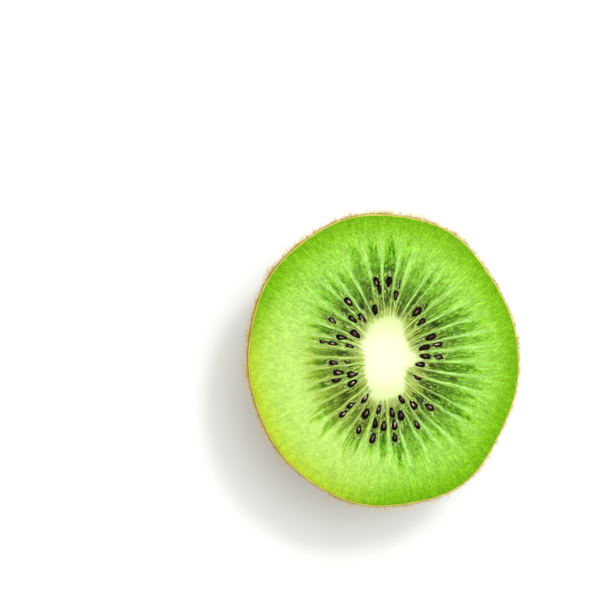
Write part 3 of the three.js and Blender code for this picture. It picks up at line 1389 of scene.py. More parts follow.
@dataclass(frozen=True)
class CutFlesh:
    """The flesh: a finely modelled cut face on a body that fills the skin."""

    plan: FruitPlan
    pattern: CutPattern
    columns: int = 836
    core_rings: int = 8
    chamber_rings: int = 66
    outer_rings: int = 32
    under_rings: int = 8
    core_margin: float = 1.1 * MM  # how far inside the core's edge the finer rings begin
    chambers_most: float = 0.9  # share of the way to the skin where they end at the latest
    core_sink: float = 0.05 * MM
    core_flat: Span = (0.0, 0.25)  # shares of the way out, where the core begins to sink
    wall_depth: float = 0.1 * MM
    chamber_depth: float = 0.42 * MM
    pulp_bumps: float = 0.05 * MM
    pulp_cell: float = 0.5 * MM
    outer_bumps: float = 0.02 * MM
    outer_cell: float = 0.8 * MM
    under_gap: float = 0.42 * MM  # outside of the skin to the hidden side of the flesh
    under_floor: float = 1.9 * MM  # the flesh ends above the hollow of the stalk scar
    under_sweep: Span = (0.08, 0.96)

    def face_rings(self) -> tuple[Array, Array]:
        """Lays out the cut face, flat.

        Returns:
            The points by ring and column, from the core's middle to the skin, and each point's
            share of the way.
        """
        form, plan = self.plan.form, self.plan
        angle = circle(self.columns)
        rim = polar(angle, form.outline(angle) - form.skin)
        spoke = rim + plan.fruit_middle - plan.core_middle
        length = np.hypot(spoke[:, 0], spoke[:, 1])
        heading = np.arctan2(spoke[:, 1], spoke[:, 0])
        core_end = (plan.core.edge(heading) - self.core_margin) / length
        chambers_end = np.minimum(plan.chambers_end(heading) / length, self.chambers_most)
        in_core = np.linspace(0, 1, self.core_rings, endpoint=False)[1:, None]
        in_chambers = np.linspace(0, 1, self.chamber_rings, endpoint=False)[:, None]
        outside = np.linspace(0, 1, self.outer_rings)[:, None]
        shares = [
            in_core * core_end,
            core_end + in_chambers * (chambers_end - core_end),
            chambers_end + outside * (1 - chambers_end),
        ]
        share = np.concatenate(shares)
        flat = plan.core_middle + share[:, :, None] * spoke[None]
        height = np.full((*share.shape, 1), form.height)
        return np.concatenate([flat, height], axis=2), share

    def sink(self, points: Array, marks: dict[str, Array], share: Array) -> Array:
        """Works out the relief of the cut face.

        Args:
            points: The flat points.
            marks: Their marks.
            share: Their share of the way from the core's middle to the skin.

        Returns:
            How far each point lies below the cut.
        """
        along = np.clip(marks["reach"], 0, 1)
        hollow = self.wall_depth + (self.chamber_depth - self.wall_depth) * marks["hollow"]
        in_fruit = 1 - marks[Mark.CORE]
        chambers = hollow * (1 - along**2) * in_fruit
        core = self.core_sink * (1 - in_fruit) * ease(*self.core_flat, share)
        pulp = SmoothNoise(5, self.pulp_cell).at(points) * self.pulp_bumps * in_fruit * (1 - along)
        outer = SmoothNoise(6, self.outer_cell).at(points) * self.outer_bumps
        return chambers + core + np.abs(pulp) + np.abs(outer)

    def shape(self) -> Shape:
        """Builds the flesh.

        Returns:
            The closed shape with the marks of the cut on its face.
        """
        form, plan = self.plan.form, self.plan
        face, share = self.face_rings()
        flat = face.reshape(-1, 3)
        marks = self.pattern.marks(flat)
        marks[Mark.OUT] = share.ravel()
        flat[:, 2] -= self.sink(flat, marks, share.ravel())

        sweeps = np.linspace(*self.under_sweep, self.under_rings)
        sweep, turn = ring_grid(sweeps, self.columns)
        under = form.side(turn, sweep) - self.under_gap * form.side_normal(turn, sweep)
        under[..., 2] = np.maximum(under[..., 2], self.under_floor)
        rings = np.concatenate([flat.reshape(face.shape), plan.moved(under)])
        middle = np.append(plan.core_middle, form.height - self.core_sink / 2)
        bottom = plan.moved(np.array([0, 0, self.under_floor]))
        made = Shape.turned(rings, middle, bottom)
        hidden = len(made.points) - len(flat)
        core_pole = -2  # the core's middle comes last but one, the underside's middle last
        for mark in Mark:
            values = marks[mark]
            blank = np.zeros((hidden, *values.shape[1:]))
            made.masks[mark] = np.concatenate([values, blank])
        made.masks[Mark.OUT][len(flat) :] = 1.0
        made.masks[Mark.OUT][core_pole] = 0.0
        made.masks[Mark.CORE][core_pole] = 1.0
        return made

    def build(self) -> None:
        """Makes the piece and hands it over."""
        hand_over(self.shape().piece("flesh", FleshFinish().make()), Slot.FLESH)


# ---------------- seeds and juice


@dataclass(frozen=True)
class SeedFinish(Finish):
    """Wet, near-black seed coats, with a painted brown sheen on top and a painted pale highlight on
    a ridge.
    """

    NAME = "Seed coat"
    coat: Dye = dye(6, 5, 3)
    # painted sheen: the brown of the seed's wet top
    brown: Dye = dye(96, 50, 24)
    # painted highlight along a ridge of each seed
    gleam: Dye = dye(240, 212, 190)
    grain: Cells = Cells(0.25 * MM, 4.0)
    grain_depth: float = 0.02 * MM
    least_brown: float = 0.1  # where the grain is darkest
    gleam_grain: Span = (0.2, 0.5)
    gleam_edge: Span = (0.3, 0.8)
    roughness: Line = (0.1, 0.25)  # over the grain
    specular: float = 0.04
    wet_top: Span = (0.1, 0.5)
    wetness: float = 0.9
    wet_roughness: float = 0.15
    wet_index: float = 1.5

    def sockets(self) -> dict[str, Source]:
        """Wires up the seeds' coats.

        Returns:
            What feeds the shader's sockets, by name.
        """
        grain = self.grain.over(self.place)
        # painted sheen: a browner top
        top = self.mask("top") * (grain + self.least_brown)
        # painted highlight along the ridge
        gleam = self.mask("gleam") * grain.limit(*self.gleam_grain)
        brown = top.mix(self.coat, self.brown)
        return {
            "Base Color": gleam.limit(*self.gleam_edge).mix(brown, self.gleam),
            "Roughness": grain.line(*self.roughness),
            "Specular IOR Level": self.specular,
            "Coat Weight": top.limit(*self.wet_top) * self.wetness,
            "Coat Roughness": self.wet_roughness,
            "Coat IOR": self.wet_index,
            "Normal": grain.bump(self.grain_depth),
        }


@dataclass(frozen=True)
class Seeds:
    """The seeds on the cut: small drops that lie flat, pointed end towards the core."""

    plan: FruitPlan
    length: float = 2.1 * MM
    width: float = 1.2 * MM
    thickness: float = 0.9 * MM
    taper: float = 0.35
    bluntness: float = 0.9
    sink: float = 0.35 * MM
    deeper: float = 0.26 * MM  # the most that a seed lies deeper than the others
    deeper_power: float = 1.5  # how few of them do
    girths: Span = (0.84, 1.08)
    tones: Span = (0.25, 1.15)  # from the blackest top to the strongest painted brown sheen
    top_edge: Span = (0.72, 0.2)  # from a seed's rim to its middle, in its half size
    gleam: float = 1.1  # the most that the painted highlight along a seed's ridge shines pale
    ridge_side: float = 0.16  # beside the middle line, in half widths
    ridge_width: float = 0.18
    ridge_place: float = -0.1  # along the seed, in half lengths
    ridge_length: float = 0.45
    columns: int = 18
    rings: int = 11
    seed: int = 7

    def drop(self) -> Shape:
        """Builds the form of all seeds.

        Returns:
            A drop of half size 1, its long way along +X.
        """
        bend, turn = ring_grid(between(self.rings, math.pi), self.columns)
        girth = np.sin(bend) ** self.bluntness * (1 + self.taper * np.cos(bend))
        rings = np.roll(polar(turn, girth, np.cos(bend)), 1, axis=-1)
        return Shape.turned(rings, (1.0, 0, 0), (-1.0, 0, 0))

    def seed_at(
        self,
        drop: Shape,
        place: SeedPlace,
        depth: float,
        girth: float,
        tone: float,
        shine: float,
    ) -> Shape:
        """Places one seed.

        Args:
            drop: The form of all seeds.
            place: Where this one lies.
            depth: How deep it lies, from 0 to 1.
            girth: Its width and thickness, as a share of the usual ones.
            tone: How strong the painted brown sheen on its top is.
            shine: How pale the painted highlight on its ridge is, and on which side of the top it
                lies if below 0.

        Returns:
            The seed in its chamber, with the masks of its painted brown sheen on top and its
            painted pale highlight on a ridge.
        """
        across = np.array([self.width, self.thickness]) * girth
        sizes = np.append(self.length, across) * place.size / 2
        points = spun(drop.points * sizes, place.turn) + (place.radius, place.side, 0.0)
        height = self.plan.form.height - self.sink - self.deeper * depth
        placed = spun(points, place.angle) + np.append(self.plan.core_middle, height)
        x, y, z = drop.points.T
        # painted sheen: browner towards the top's middle
        top = tone * ease(*self.top_edge, np.hypot(x, y)) * (z > 0)
        # painted highlight along a ridge beside the middle line
        ridge = hump(y - self.ridge_side * np.sign(shine), self.ridge_width)
        ridge = ridge * hump(x - self.ridge_place, self.ridge_length) * (z > 0)
        return Shape(placed, drop.faces, {"top": top, "gleam": abs(shine) * ridge})

    def build(self) -> None:
        """Makes the piece and hands it over."""
        drop = self.drop()
        rng = np.random.default_rng(self.seed)
        places = self.plan.drawn[1]
        count = len(places)
        depths = rng.random(count) ** self.deeper_power
        girths = rng.uniform(*self.girths, count)
        tones = rng.uniform(*self.tones, count)
        shines = self.gleam * rng.uniform(-1, 1, count)
        every = zip(places, depths, girths, tones, shines)
        seeds = Shape.joined([self.seed_at(drop, *one) for one in every])
        hand_over(seeds.piece("seeds", SeedFinish().make()), Slot.SEED)


@dataclass(frozen=True)
class JuiceFinish(Finish):
    """Tiny beads of juice, very glossy, from green to a pale white that is a painted sparkle."""

    NAME = "Juice"
    green: Dye = dye(120, 170, 70)
    # painted sparkle: the pale white of the brightest beads
    pale: Dye = dye(232, 246, 206)
    roughness: float = 0.06
    specular: float = 0.7

    def sockets(self) -> dict[str, Source]:
        """Wires up the beads.

        Returns:
            What feeds the shader's sockets, by name.
        """
        return {
            "Base Color": self.mask("light").mix(self.green, self.pale),
            "Roughness": self.roughness,
            "Specular IOR Level": self.specular,
        }


@dataclass(frozen=True)
class JuiceBeads:
    """Beads of juice that glint in the seed chambers: glossy, with the paler ones painted as
    sparkles.
    """

    plan: FruitPlan
    pattern: CutPattern
    tries: int = 9000
    beyond: Span = (0.5, 11.5)  # millimetres out from the core's edge
    sizes: Span = (0.03 * MM, 0.08 * MM)
    stretch: Span = (1.5, 5.0)
    squash: float = 0.7
    # how far each bead is painted pale as a sparkle
    lights: Span = (0.1, 0.9)
    cluster_cell: float = 1.4 * MM
    cluster_edge: Span = (-0.1, 0.7)
    cluster_chance: float = 0.06
    seed_chance: float = 0.4  # near a seed
    columns: int = 8
    rings: int = 5
    seed: int = 23

    def bead(self) -> Shape:
        """The form of all beads, a ball of half size 1."""
        bend, turn = ring_grid(between(self.rings, math.pi), self.columns)
        return Shape.turned(polar(turn, np.sin(bend), np.cos(bend)), (0, 0, 1.0), (0, 0, -1.0))

    def build(self, flesh: CutFlesh) -> None:
        """Scatters the beads where the chambers are deep, and hands them over.

        Args:
            flesh: The flesh that they lie on.
        """
        plan = self.plan
        rng = np.random.default_rng(self.seed)
        angle = rng.uniform(0, FULL_TURN, self.tries)
        radius = plan.core.edge(angle) + rng.uniform(*self.beyond, self.tries) * MM
        height = np.full(self.tries, plan.form.height)
        points = np.column_stack([plan.core_middle + polar(angle, radius), height])
        marks = self.pattern.marks(points)
        points[:, 2] -= flesh.sink(points, marks, radius / plan.form.mean_radius)
        clusters = SmoothNoise(self.seed, self.cluster_cell).at(points)
        chance = self.cluster_chance * ease(*self.cluster_edge, clusters)
        chance = chance + self.seed_chance * marks[Mark.NEAR_SEED]
        keep = rng.random(self.tries) < marks["hollow"] * chance
        bead = self.bead()
        beads = []
        for spot, heading in zip(points[keep], angle[keep]):
            size = self.sizes[0] + (self.sizes[1] - self.sizes[0]) * rng.random() ** 2
            sizes = np.array([size * rng.uniform(*self.stretch), size, size * self.squash])
            placed = spun(bead.points * sizes, heading) + spot
            light = np.full(len(placed), rng.uniform(*self.lights))
            beads.append(Shape(placed, bead.faces, {"light": light}))
        hand_over(Shape.joined(beads).piece("juice_beads", JuiceFinish().make()), Slot.FLESH)


# ---------------- skin, scar and fuzz


@dataclass(frozen=True)
class SkinFinish(Finish):
    """Thin papery skin: olive and brown patches, dark pits, and a yellow cut edge."""

    NAME = "Skin"
    olive: Dye = dye(150, 140, 34)
    brown: Dye = dye(160, 116, 28)
    tan: Dye = dye(190, 158, 48)
    tan_share: float = 0.6
    pit: Dye = dye(104, 72, 14)
    pit_share: float = 0.5
    shaded: Dye = dye(112, 58, 10)
    shaded_share: float = 0.8
    rim: Dye = dye(168, 150, 36)
    rim_share: float = 0.45
    cut: Dye = dye(228, 220, 104)
    broad_patches: Patches = Patches(3.2 * MM, 0.5, 0.22)
    small_patches: Patches = Patches(1.1 * MM, 0.45, 0.1)
    pits: Patches = Patches(0.5 * MM, 0.38, 0.06)
    grain: Cells = Cells(0.22 * MM, 1.8)
    grain_light: Line = (0.5, 0.75)
    relief: float = 0.06 * MM
    roughness: Line = (0.2, 0.62)  # over the grain
    specular: float = 0.08

    def sockets(self) -> dict[str, Source]:
        """Wires up the skin.

        Returns:
            What feeds the shader's sockets, by name.
        """
        grain, pits = self.grain.over(self.place), self.pits.over(self.place)
        colour = layers(
            self.brown,
            (self.broad_patches.over(self.place), self.olive),
            (self.small_patches.over(self.place) * self.tan_share, self.tan),
            (pits * self.pit_share, self.pit),
            (self.mask("low") * self.shaded_share, self.shaded),
            (self.mask("rim") * self.rim_share, self.rim),
            (self.mask("cut"), self.cut),
        )
        return {
            "Base Color": colour.shade(grain.line(*self.grain_light)),
            "Roughness": grain.line(*self.roughness),
            "Specular IOR Level": self.specular,
            "Normal": (grain - pits).bump(self.relief),
        }


@dataclass(frozen=True)
class Skin:
    """The skin: a thin closed shell with its cut edge round the flesh."""

    plan: FruitPlan
    columns: int = 480
    rings: int = 104
    edge_rings: int = 4
    inner_rings: int = 12
    inner_sweep: Span = (0.05, 0.97)
    thickness: float = 0.33 * MM
    lumps: tuple[tuple[int, float, float], ...] = (
        (31, 2.2 * MM, 0.042 * MM),  # number of the noise, size of a lump and its height
        (32, 0.9 * MM, 0.028 * MM),
    )
    lumps_rise: Span = (0.2 * MM, 1.5 * MM)  # above the floor, where they set in
    lumps_start: Span = (0, 0.03)  # on the way down from the cut
    edge_wear: float = 0.04 * MM
    edge_tuck: float = 0.02 * MM  # how far its inner corner reaches in over the flesh
    edge_roundness: float = 2.2
    wear_drum: Span = (20, 3)  # radius and height of the drum that the wear is read from
    wear_cell: float = 0.35
    scar_radius: float = 3.2 * MM
    scar_depth: float = 0.95 * MM
    outer_corner: float = 0.75  # share of the cut's colour that is gone at the outer corner
    outer_corner_power: float = 1.5
    patchiness: float = 0.45  # how much the cut edge's tone varies round the fruit
    patch_drum: float = 14  # radius of the ring that this is read from, in patches
    rim_band: Span = (2.2 * MM, 0.2 * MM)  # below the cut
    low_part: Span = (6 * MM, 28 * MM)  # below the cut

    def outside(self, angle: Array, sweep: Array) -> Array:
        """Finds points on the outside of the skin, with its lumps and the hollow of the scar.

        Args:
            angle: Directions round the fruit in radians.
            sweep: The way down, from 0 at the cut to 1 underneath.

        Returns:
            One row of x, y and z for each point, where the fruit lies.
        """
        form = self.plan.form
        points = form.side(angle, sweep)
        lump = sum(SmoothNoise(number, cell).at(points) * high for number, cell, high in self.lumps)
        lump = lump * ease(*self.lumps_rise, points[..., 2]) * ease(*self.lumps_start, sweep)
        points = points + form.side_normal(angle, sweep) * lump[..., None]
        radius = np.hypot(points[..., 0], points[..., 1])
        hollow = np.clip(1 - (radius / self.scar_radius) ** 2, 0, 1) ** 2
        points[..., 2] += self.scar_depth * hollow * (points[..., 2] < form.height / 2)
        return self.plan.moved(points)

    def edge(self, angle: Array) -> Array:
        """Builds the cut edge.

        Args:
            angle: Directions round the fruit in radians.

        Returns:
            The points by ring and column, from the inner corner by the flesh to the outer one.
        """
        form = self.plan.form
        share = np.linspace(0, 1, self.edge_rings)[:, None] * np.ones_like(angle)
        drum, height = self.wear_drum
        wear = SmoothNoise(33, self.wear_cell).at(polar(angle, drum, height * share))
        radius = form.outline(angle) - (form.skin + self.edge_tuck) * (1 - share)
        drop = form.skin_drop * share**self.edge_roundness - self.edge_tuck * (1 - share)
        drop = drop + self.edge_wear * wear * share
        return self.plan.moved(polar(angle, radius, form.height - drop))

    def shape(self) -> Shape:
        """Builds the skin.

        Returns:
            The closed shell with masks for its cut edge, the band under it and its low parts.
        """
        form = self.plan.form
        sweep, turn = ring_grid(between(self.rings, 1.0), self.columns)
        outer = self.outside(turn, sweep)
        angle = circle(self.columns)
        edge = self.edge(angle)
        sweep, turn = ring_grid(np.linspace(*self.inner_sweep, self.inner_rings), self.columns)
        inner = self.outside(turn, sweep) - self.thickness * form.side_normal(turn, sweep)
        rings = np.concatenate([outer[::-1], edge[::-1], inner])
        pole = self.outside(np.zeros(1), np.array([1 - form.slope_step]))[0]
        pole[:2] = self.plan.fruit_middle
        made = Shape.turned(rings, pole, pole + (0, 0, self.thickness))
        cut = np.zeros(len(made.points))
        start = outer.shape[0] * self.columns
        from_inside = np.linspace(1, 0, self.edge_rings) ** self.outer_corner_power
        patches = np.abs(SmoothNoise(34, 1.0).at(polar(angle, self.patch_drum, 0.0)))
        tones = np.outer(1 - self.outer_corner * from_inside, 1 - self.patchiness * patches)
        cut[start : start + tones.size] = tones.ravel()
        drop = form.height - made.points[:, 2]
        made.masks["cut"] = cut
        made.masks["rim"] = ease(*self.rim_band, drop)
        made.masks["low"] = ease(*self.low_part, drop)
        return made

    def build(self) -> None:
        """Makes the piece and hands it over."""
        hand_over(self.shape().piece("skin", SkinFinish().make()), Slot.SKIN)


@dataclass(frozen=True)
class ScarFinish(Finish):
    """Dry, dark, woody stalk scar."""

    NAME = "Stalk scar"
    dark: Dye = dye(44, 28, 16)
    light: Dye = dye(104, 74, 44)
    grain: Cells = Cells(0.25 * MM, 2.2)
    cracks: Patches = Patches(0.7 * MM, 0.45, 0.05)
    relief: float = 0.15 * MM
    roughness: Line = (0.2, 0.7)  # over the grain
    specular: float = 0.2

    def sockets(self) -> dict[str, Source]:
        """Wires up the scar.

        Returns:
            What feeds the shader's sockets, by name.
        """
        grain, cracks = self.grain.over(self.place), self.cracks.over(self.place)
        return {
            "Base Color": layers(self.dark, (grain, self.light), (cracks, self.dark)),
            "Roughness": grain.line(*self.roughness),
            "Specular IOR Level": self.specular,
            "Normal": (grain - cracks).bump(self.relief),
        }


@dataclass(frozen=True)
class StalkScar:
    """The woody scar in the hollow of the rounded end."""

    plan: FruitPlan
    skin: Skin
    radius: float = 2.3 * MM
    thickness: float = 0.55 * MM
    overlap: float = 0.1 * MM  # how far its middle lies above the top of the skin's hollow
    spokes: int = 9
    spoke_depth: float = 0.1  # of the outline, as a share of the radius
    spoke_rise: float = 0.25  # of the surface, as a share of the thickness
    spoke_twist: float = 2.0  # radians
    lobes: int = 5
    lobe_depth: float = 0.06
    lobe_turn: float = 1.0  # radians
    bump: float = 0.12 * MM
    bump_cell: float = 0.4 * MM
    columns: int = 72
    rings: int = 12

    def build(self) -> None:
        """Makes the piece and hands it over."""
        bend, turn = ring_grid(between(self.rings, math.pi), self.columns)
        out = np.sin(bend)
        spokes = self.spoke_depth * np.cos(self.spokes * turn)
        lobes = self.lobe_depth * np.sin(self.lobes * turn + self.lobe_turn)
        rise = 1 + self.spoke_rise * np.cos(self.spokes * turn + self.spoke_twist) * out
        middle = self.skin.scar_depth + self.overlap
        height = middle - np.cos(bend) * self.thickness * rise
        rings = polar(turn, self.radius * out * (1 + spokes + lobes), height)
        rings[..., 2] += self.bump * SmoothNoise(41, self.bump_cell).at(rings) * out
        bottom, top = (0, 0, middle - self.thickness), (0, 0, middle + self.thickness)
        moved = self.plan.moved
        made = Shape.turned(moved(rings), moved(np.array(bottom)), moved(np.array(top)))
        hand_over(made.piece("stalk_scar", ScarFinish().make()), Slot.STALK_SCAR)


@dataclass(frozen=True)
class FuzzFinish(Finish):
    """Dry hair: its own tone across the map, from a dark root to a lighter tip along it."""

    NAME = "Fuzz"
    tones: Stops = (
        (0.0, dye(114, 68, 12)),
        (0.35, dye(206, 134, 36)),
        (0.7, dye(236, 178, 60)),
        (1.0, dye(246, 230, 122)),
    )
    light: Line = (0.49, 0.66)  # along the hair
    roughness: float = 0.55
    specular: float = 0.08

    def sockets(self) -> dict[str, Source]:
        """Wires up the hair.

        Returns:
            What feeds the shader's sockets, by name.
        """
        layout = self.given("ShaderNodeUVMap", "UV", uv_map=BAKE_MAP)
        across = layout.into("ShaderNodeSeparateXYZ", "X", {0: layout})
        along = Wire(across.socket.node.outputs["Y"])
        return {
            "Base Color": across.ramp(self.tones).shade(along.line(*self.light)),
            "Roughness": self.roughness,
            "Specular IOR Level": self.specular,
        }


@dataclass(frozen=True)
class HairKind:
    """One kind of hair: how many, how long, how it leaves the skin and how it is coloured."""

    name: str
    count: int
    length: Span
    thickness: float  # radius at the root
    lift: Span  # degrees off the skin at the root
    settle: float  # share of that lift that is gone at the tip
    curl: float  # sideways bend, as a share of the length
    tone: Span
    sweep: Span = (0.004, 0.9)
    steps: int = 4  # points along a hair
    side_bias: float = 0.0  # how much denser it is on one side, from 0 to 1
    seed: int = 0


@dataclass(frozen=True)
class Fuzz:
    """The fuzz on the skin, one piece for each kind of hair."""

    SIDES = 3  # of a hair

    plan: FruitPlan
    skin: Skin
    dense_side: float = 140.0  # degrees from +X to where the rim's hairs stand densest
    dense_edge: Span = (-0.6, 0.9)  # cosines of the turn from that side
    area_rings: int = 200  # rings that the skin's area is measured over
    tries: int = 3  # places drawn for each hair that is kept
    clump_cell: float = 1.6 * MM
    clump_chance: Line = (0.46, 0.54)
    swirl_cell: float = 5 * MM
    swirl: float = 2.2  # radians
    stray: float = 0.9  # radians off the swirl, for most hairs
    root_depth: float = 0.05 * MM
    taper: float = 0.75
    floor_gap: float = 0.06 * MM
    tone_cell: float = 3.0 * MM
    own_tone: float = 0.7  # how far a hair's tone is its own
    shared_tone: float = 0.3  # and how far that of the hairs round it
    least_tone: float = 0.15
    low_shade: float = 0.6  # how much darker in tone the hairs are low down
    low_drop: Span = (10 * MM, 30 * MM)  # below the cut
    rim_light: float = 0.75  # and how much paler up at the cut
    rim_drop: Span = (4.5 * MM, 0.5 * MM)
    map_margin: float = 0.01
    map_width: float = 0.97
    map_height: float = 0.98
    map_side_step: float = 0.004  # between the corners round a hair
    kinds: tuple[HairKind, ...] = (
        HairKind(
            "fuzz_under", 19000, (0.7 * MM, 1.3 * MM), 0.036 * MM, (4, 13), 0.9, 0.35,
            (0.2, 0.7), sweep=(0.006, 0.945), steps=3, seed=1,
        ),
        HairKind(
            "fuzz_brown", 9500, (1.0 * MM, 1.9 * MM), 0.046 * MM, (5, 18), 0.8, 0.55,
            (0.25, 0.8), sweep=(0.009, 0.945), seed=2,
        ),
        HairKind(
            "fuzz_golden", 8500, (1.1 * MM, 2.1 * MM), 0.046 * MM, (7, 23), 0.75, 0.65,
            (0.5, 1.0), sweep=(0.014, 0.93), seed=3,
        ),
        HairKind(
            "fuzz_rim", 1200, (0.7 * MM, 2.3 * MM), 0.052 * MM, (15, 75), 0.4, 0.7,
            (0.6, 1.0), sweep=(0.003, 0.035), steps=6, side_bias=0.75, seed=4,
        ),
        HairKind(
            "fuzz_scar", 320, (0.5 * MM, 1.1 * MM), 0.045 * MM, (8, 40), 0.5, 0.6,
            (0.0, 0.3), sweep=(0.945, 0.985), seed=5,
        ),
    )

    def roots(self, kind: HairKind, rng: np.random.Generator) -> tuple[Array, Array]:
        """Draws where the hairs of a kind stand, evenly over the skin's area but for clumps.

        Args:
            kind: The kind of hair.
            rng: The seeded random numbers.

        Returns:
            The roots' angles and sweeps.
        """
        form = self.plan.form
        sweeps = np.linspace(*kind.sweep, self.area_rings)
        ring = form.side(np.zeros(self.area_rings), sweeps)
        steps = np.linalg.norm(np.diff(ring, axis=0), axis=1)
        area = steps * (ring[1:, 0] + ring[:-1, 0]) / 2
        reach = np.concatenate([[0], np.cumsum(area)]) / area.sum()
        tries = self.tries * kind.count
        sweep = np.interp(rng.random(tries), reach, sweeps)
        angle = rng.uniform(0, FULL_TURN, tries)
        clumps = SmoothNoise(kind.seed + 50, self.clump_cell).at(form.side(angle, sweep))
        toward = np.cos(angle - math.radians(self.dense_side))
        bias = 1 - kind.side_bias * (1 - ease(*self.dense_edge, toward))
        more, usual = self.clump_chance
        chance = (usual + more * clumps) * bias
        order = np.argsort(rng.random(tries) / chance)[: kind.count]
        return angle[order], sweep[order]

    def spines(self, kind: HairKind, rng: np.random.Generator) -> tuple[Array, Array, Array]:
        """Bends the hairs of a kind.

        Args:
            kind: The kind of hair.
            rng: The seeded random numbers.

        Returns:
            The points along each hair, each hair's normal at its root, and its tone.
        """
        angle, sweep = self.roots(kind, rng)
        root = self.skin.outside(angle, sweep)
        normal = self.plan.form.side_normal(angle, sweep)
        count = len(root)
        around = np.stack([-np.sin(angle), np.cos(angle), np.zeros(count)], axis=1)
        down = unit(np.cross(around, normal))
        swirl = SmoothNoise(kind.seed + 60, self.swirl_cell).at(root) * self.swirl
        heading = swirl + rng.normal(0, self.stray, count) + kind.seed
        way = np.cos(heading)[:, None] * down + np.sin(heading)[:, None] * around
        aside = np.cross(normal, way)
        length = rng.uniform(*kind.length, count)[:, None]
        lift = np.radians(rng.uniform(*kind.lift, count))[:, None]
        curl = (kind.curl * rng.normal(0, 1, count))[:, None] * length
        points = [root - self.root_depth * normal]
        for step in range(1, kind.steps):
            share = step / (kind.steps - 1)
            rise = np.sin(lift) * (share - kind.settle * share**2 / 2)
            run = np.cos(lift) * share
            bow = curl * share**2
            points.append(root + length * (rise * normal + run * way) + bow * aside)
        spine = np.stack(points, axis=1)
        spine[..., 2] = np.maximum(spine[..., 2], self.floor_gap)
        return spine, normal, self.tones(kind, root, rng)

    def tones(self, kind: HairKind, root: Array, rng: np.random.Generator) -> Array:
        """Draws the tones of the hairs of a kind.

        Args:
            kind: The kind of hair.
            root: Where each hair stands.
            rng: The seeded random numbers.

        Returns:
            Each hair's tone, from 0 for the darkest to 1.
        """
        clusters = SmoothNoise(kind.seed + 70, self.tone_cell).at(root)
        drawn = rng.random(len(root)) * self.own_tone + self.shared_tone * clusters
        low, high = kind.tone
        tone = low + (high - low) * np.clip(drawn + self.least_tone, 0, 1)
        drop = self.plan.form.height - root[:, 2]
        tone = tone * (1 - self.low_shade * ease(*self.low_drop, drop))
        return tone + (1 - tone) * self.rim_light * ease(*self.rim_drop, drop)

    def hairs(self, spine: Array, normal: Array, thickness: float) -> Shape:
        """Wraps three-sided tapering hairs round their spines.

        Args:
            spine: Points by hair and step.
            normal: A direction for each hair that it doesn't run along.
            thickness: Radius at the root.

        Returns:
            All hairs as one shape of closed bodies.
        """
        count, steps = spine.shape[:2]
        run = np.gradient(spine, axis=1)
        aside = unit(np.cross(run, normal[:, None, :]))
        upward = unit(np.cross(aside, run))
        corners = []
        for step in range(steps - 1):
            radius = thickness * (1 - self.taper * step / (steps - 1))
            for turn in circle(self.SIDES):
                offset = math.cos(turn) * upward[:, step] + math.sin(turn) * aside[:, step]
                corners.append(spine[:, step] + radius * offset)
        corners.append(spine[:, -1])
        points = np.stack(corners, axis=1)
        tip = points.shape[1] - 1
        starts = (np.arange(count) * points.shape[1])[:, None, None]
        quads = ring_quads(self.SIDES, steps - 1)[None] + starts
        tip_faces = fan(tip, tip - self.SIDES, self.SIDES)[:, ::-1][None] + starts
        root_face = np.array([[[0, 2, 1]]]) + starts
        triangles = np.concatenate([tip_faces, root_face], axis=1).reshape(-1, 3)
        return Shape(points.reshape(-1, 3), [quads.reshape(-1, 4), triangles])

    def lay_out(self, piece: bpy.types.Object, tone: Array, steps: int) -> None:
        """Gives a piece of hair the map that its finish reads.

        Args:
            piece: The hairs.
            tone: Each hair's tone, which is its place across the map.
            steps: Points along one hair. The way along the hair is the place up the map.
        """
        mesh = piece.data
        corner = np.zeros(len(mesh.loops), np.int32)
        mesh.loops.foreach_get("vertex_index", corner)
        hair, within = np.divmod(corner, self.SIDES * (steps - 1) + 1)
        step, side = np.divmod(within, self.SIDES)
        across = self.map_margin + self.map_width * tone[hair] + self.map_side_step * side
        along = self.map_margin + self.map_height * step / (steps - 1)
        layer = mesh.uv_layers.new(name=BAKE_MAP)
        layer.data.foreach_set("uv", np.column_stack([across, along]).astype(np.float32).ravel())

    def build(self) -> None:
        """Makes every kind of hair and hands it over."""
        material = FuzzFinish().make()
        for kind in self.kinds:
            rng = np.random.default_rng(kind.seed + 100)
            spine, normal, tone = self.spines(kind, rng)
            piece = self.hairs(spine, normal, kind.thickness).piece(kind.name, material)
            self.lay_out(piece, tone, kind.steps)
            hand_over(piece, Slot.FUZZ)


# ---------------- studio


@dataclass(frozen=True)
class FloorFinish(Finish):
    """Smooth and pale, and quite white further out."""

    NAME = "Floor"
    colour: Dye = dye(244, 247, 248)
    haze: Dye = dye(240, 244, 246)
    haze_scale: float = 6.0
    fade: Span = (0.14, 0.7)  # metres out to where it is quite white
    glow: Line = (0.6, 0.07)  # light of its own, more further out
    roughness: float = 0.65
    specular: float = 0.2

    def sockets(self) -> dict[str, Source]:
        """Wires up the floor.

        Returns:
            What feeds the shader's sockets, by name.
        """
        noise = {"Scale": self.haze_scale}
        haze = self.place.into("ShaderNodeTexNoise", "Fac", noise)
        length = {0: self.place}
        away = self.place.into("ShaderNodeVectorMath", "Value", length, operation="LENGTH")
        return {
            "Base Color": haze.mix(self.colour, self.haze),
            "Roughness": self.roughness,
            "Specular IOR Level": self.specular,
            "Emission Color": self.colour,
            "Emission Strength": away.limit(*self.fade).line(*self.glow),
        }


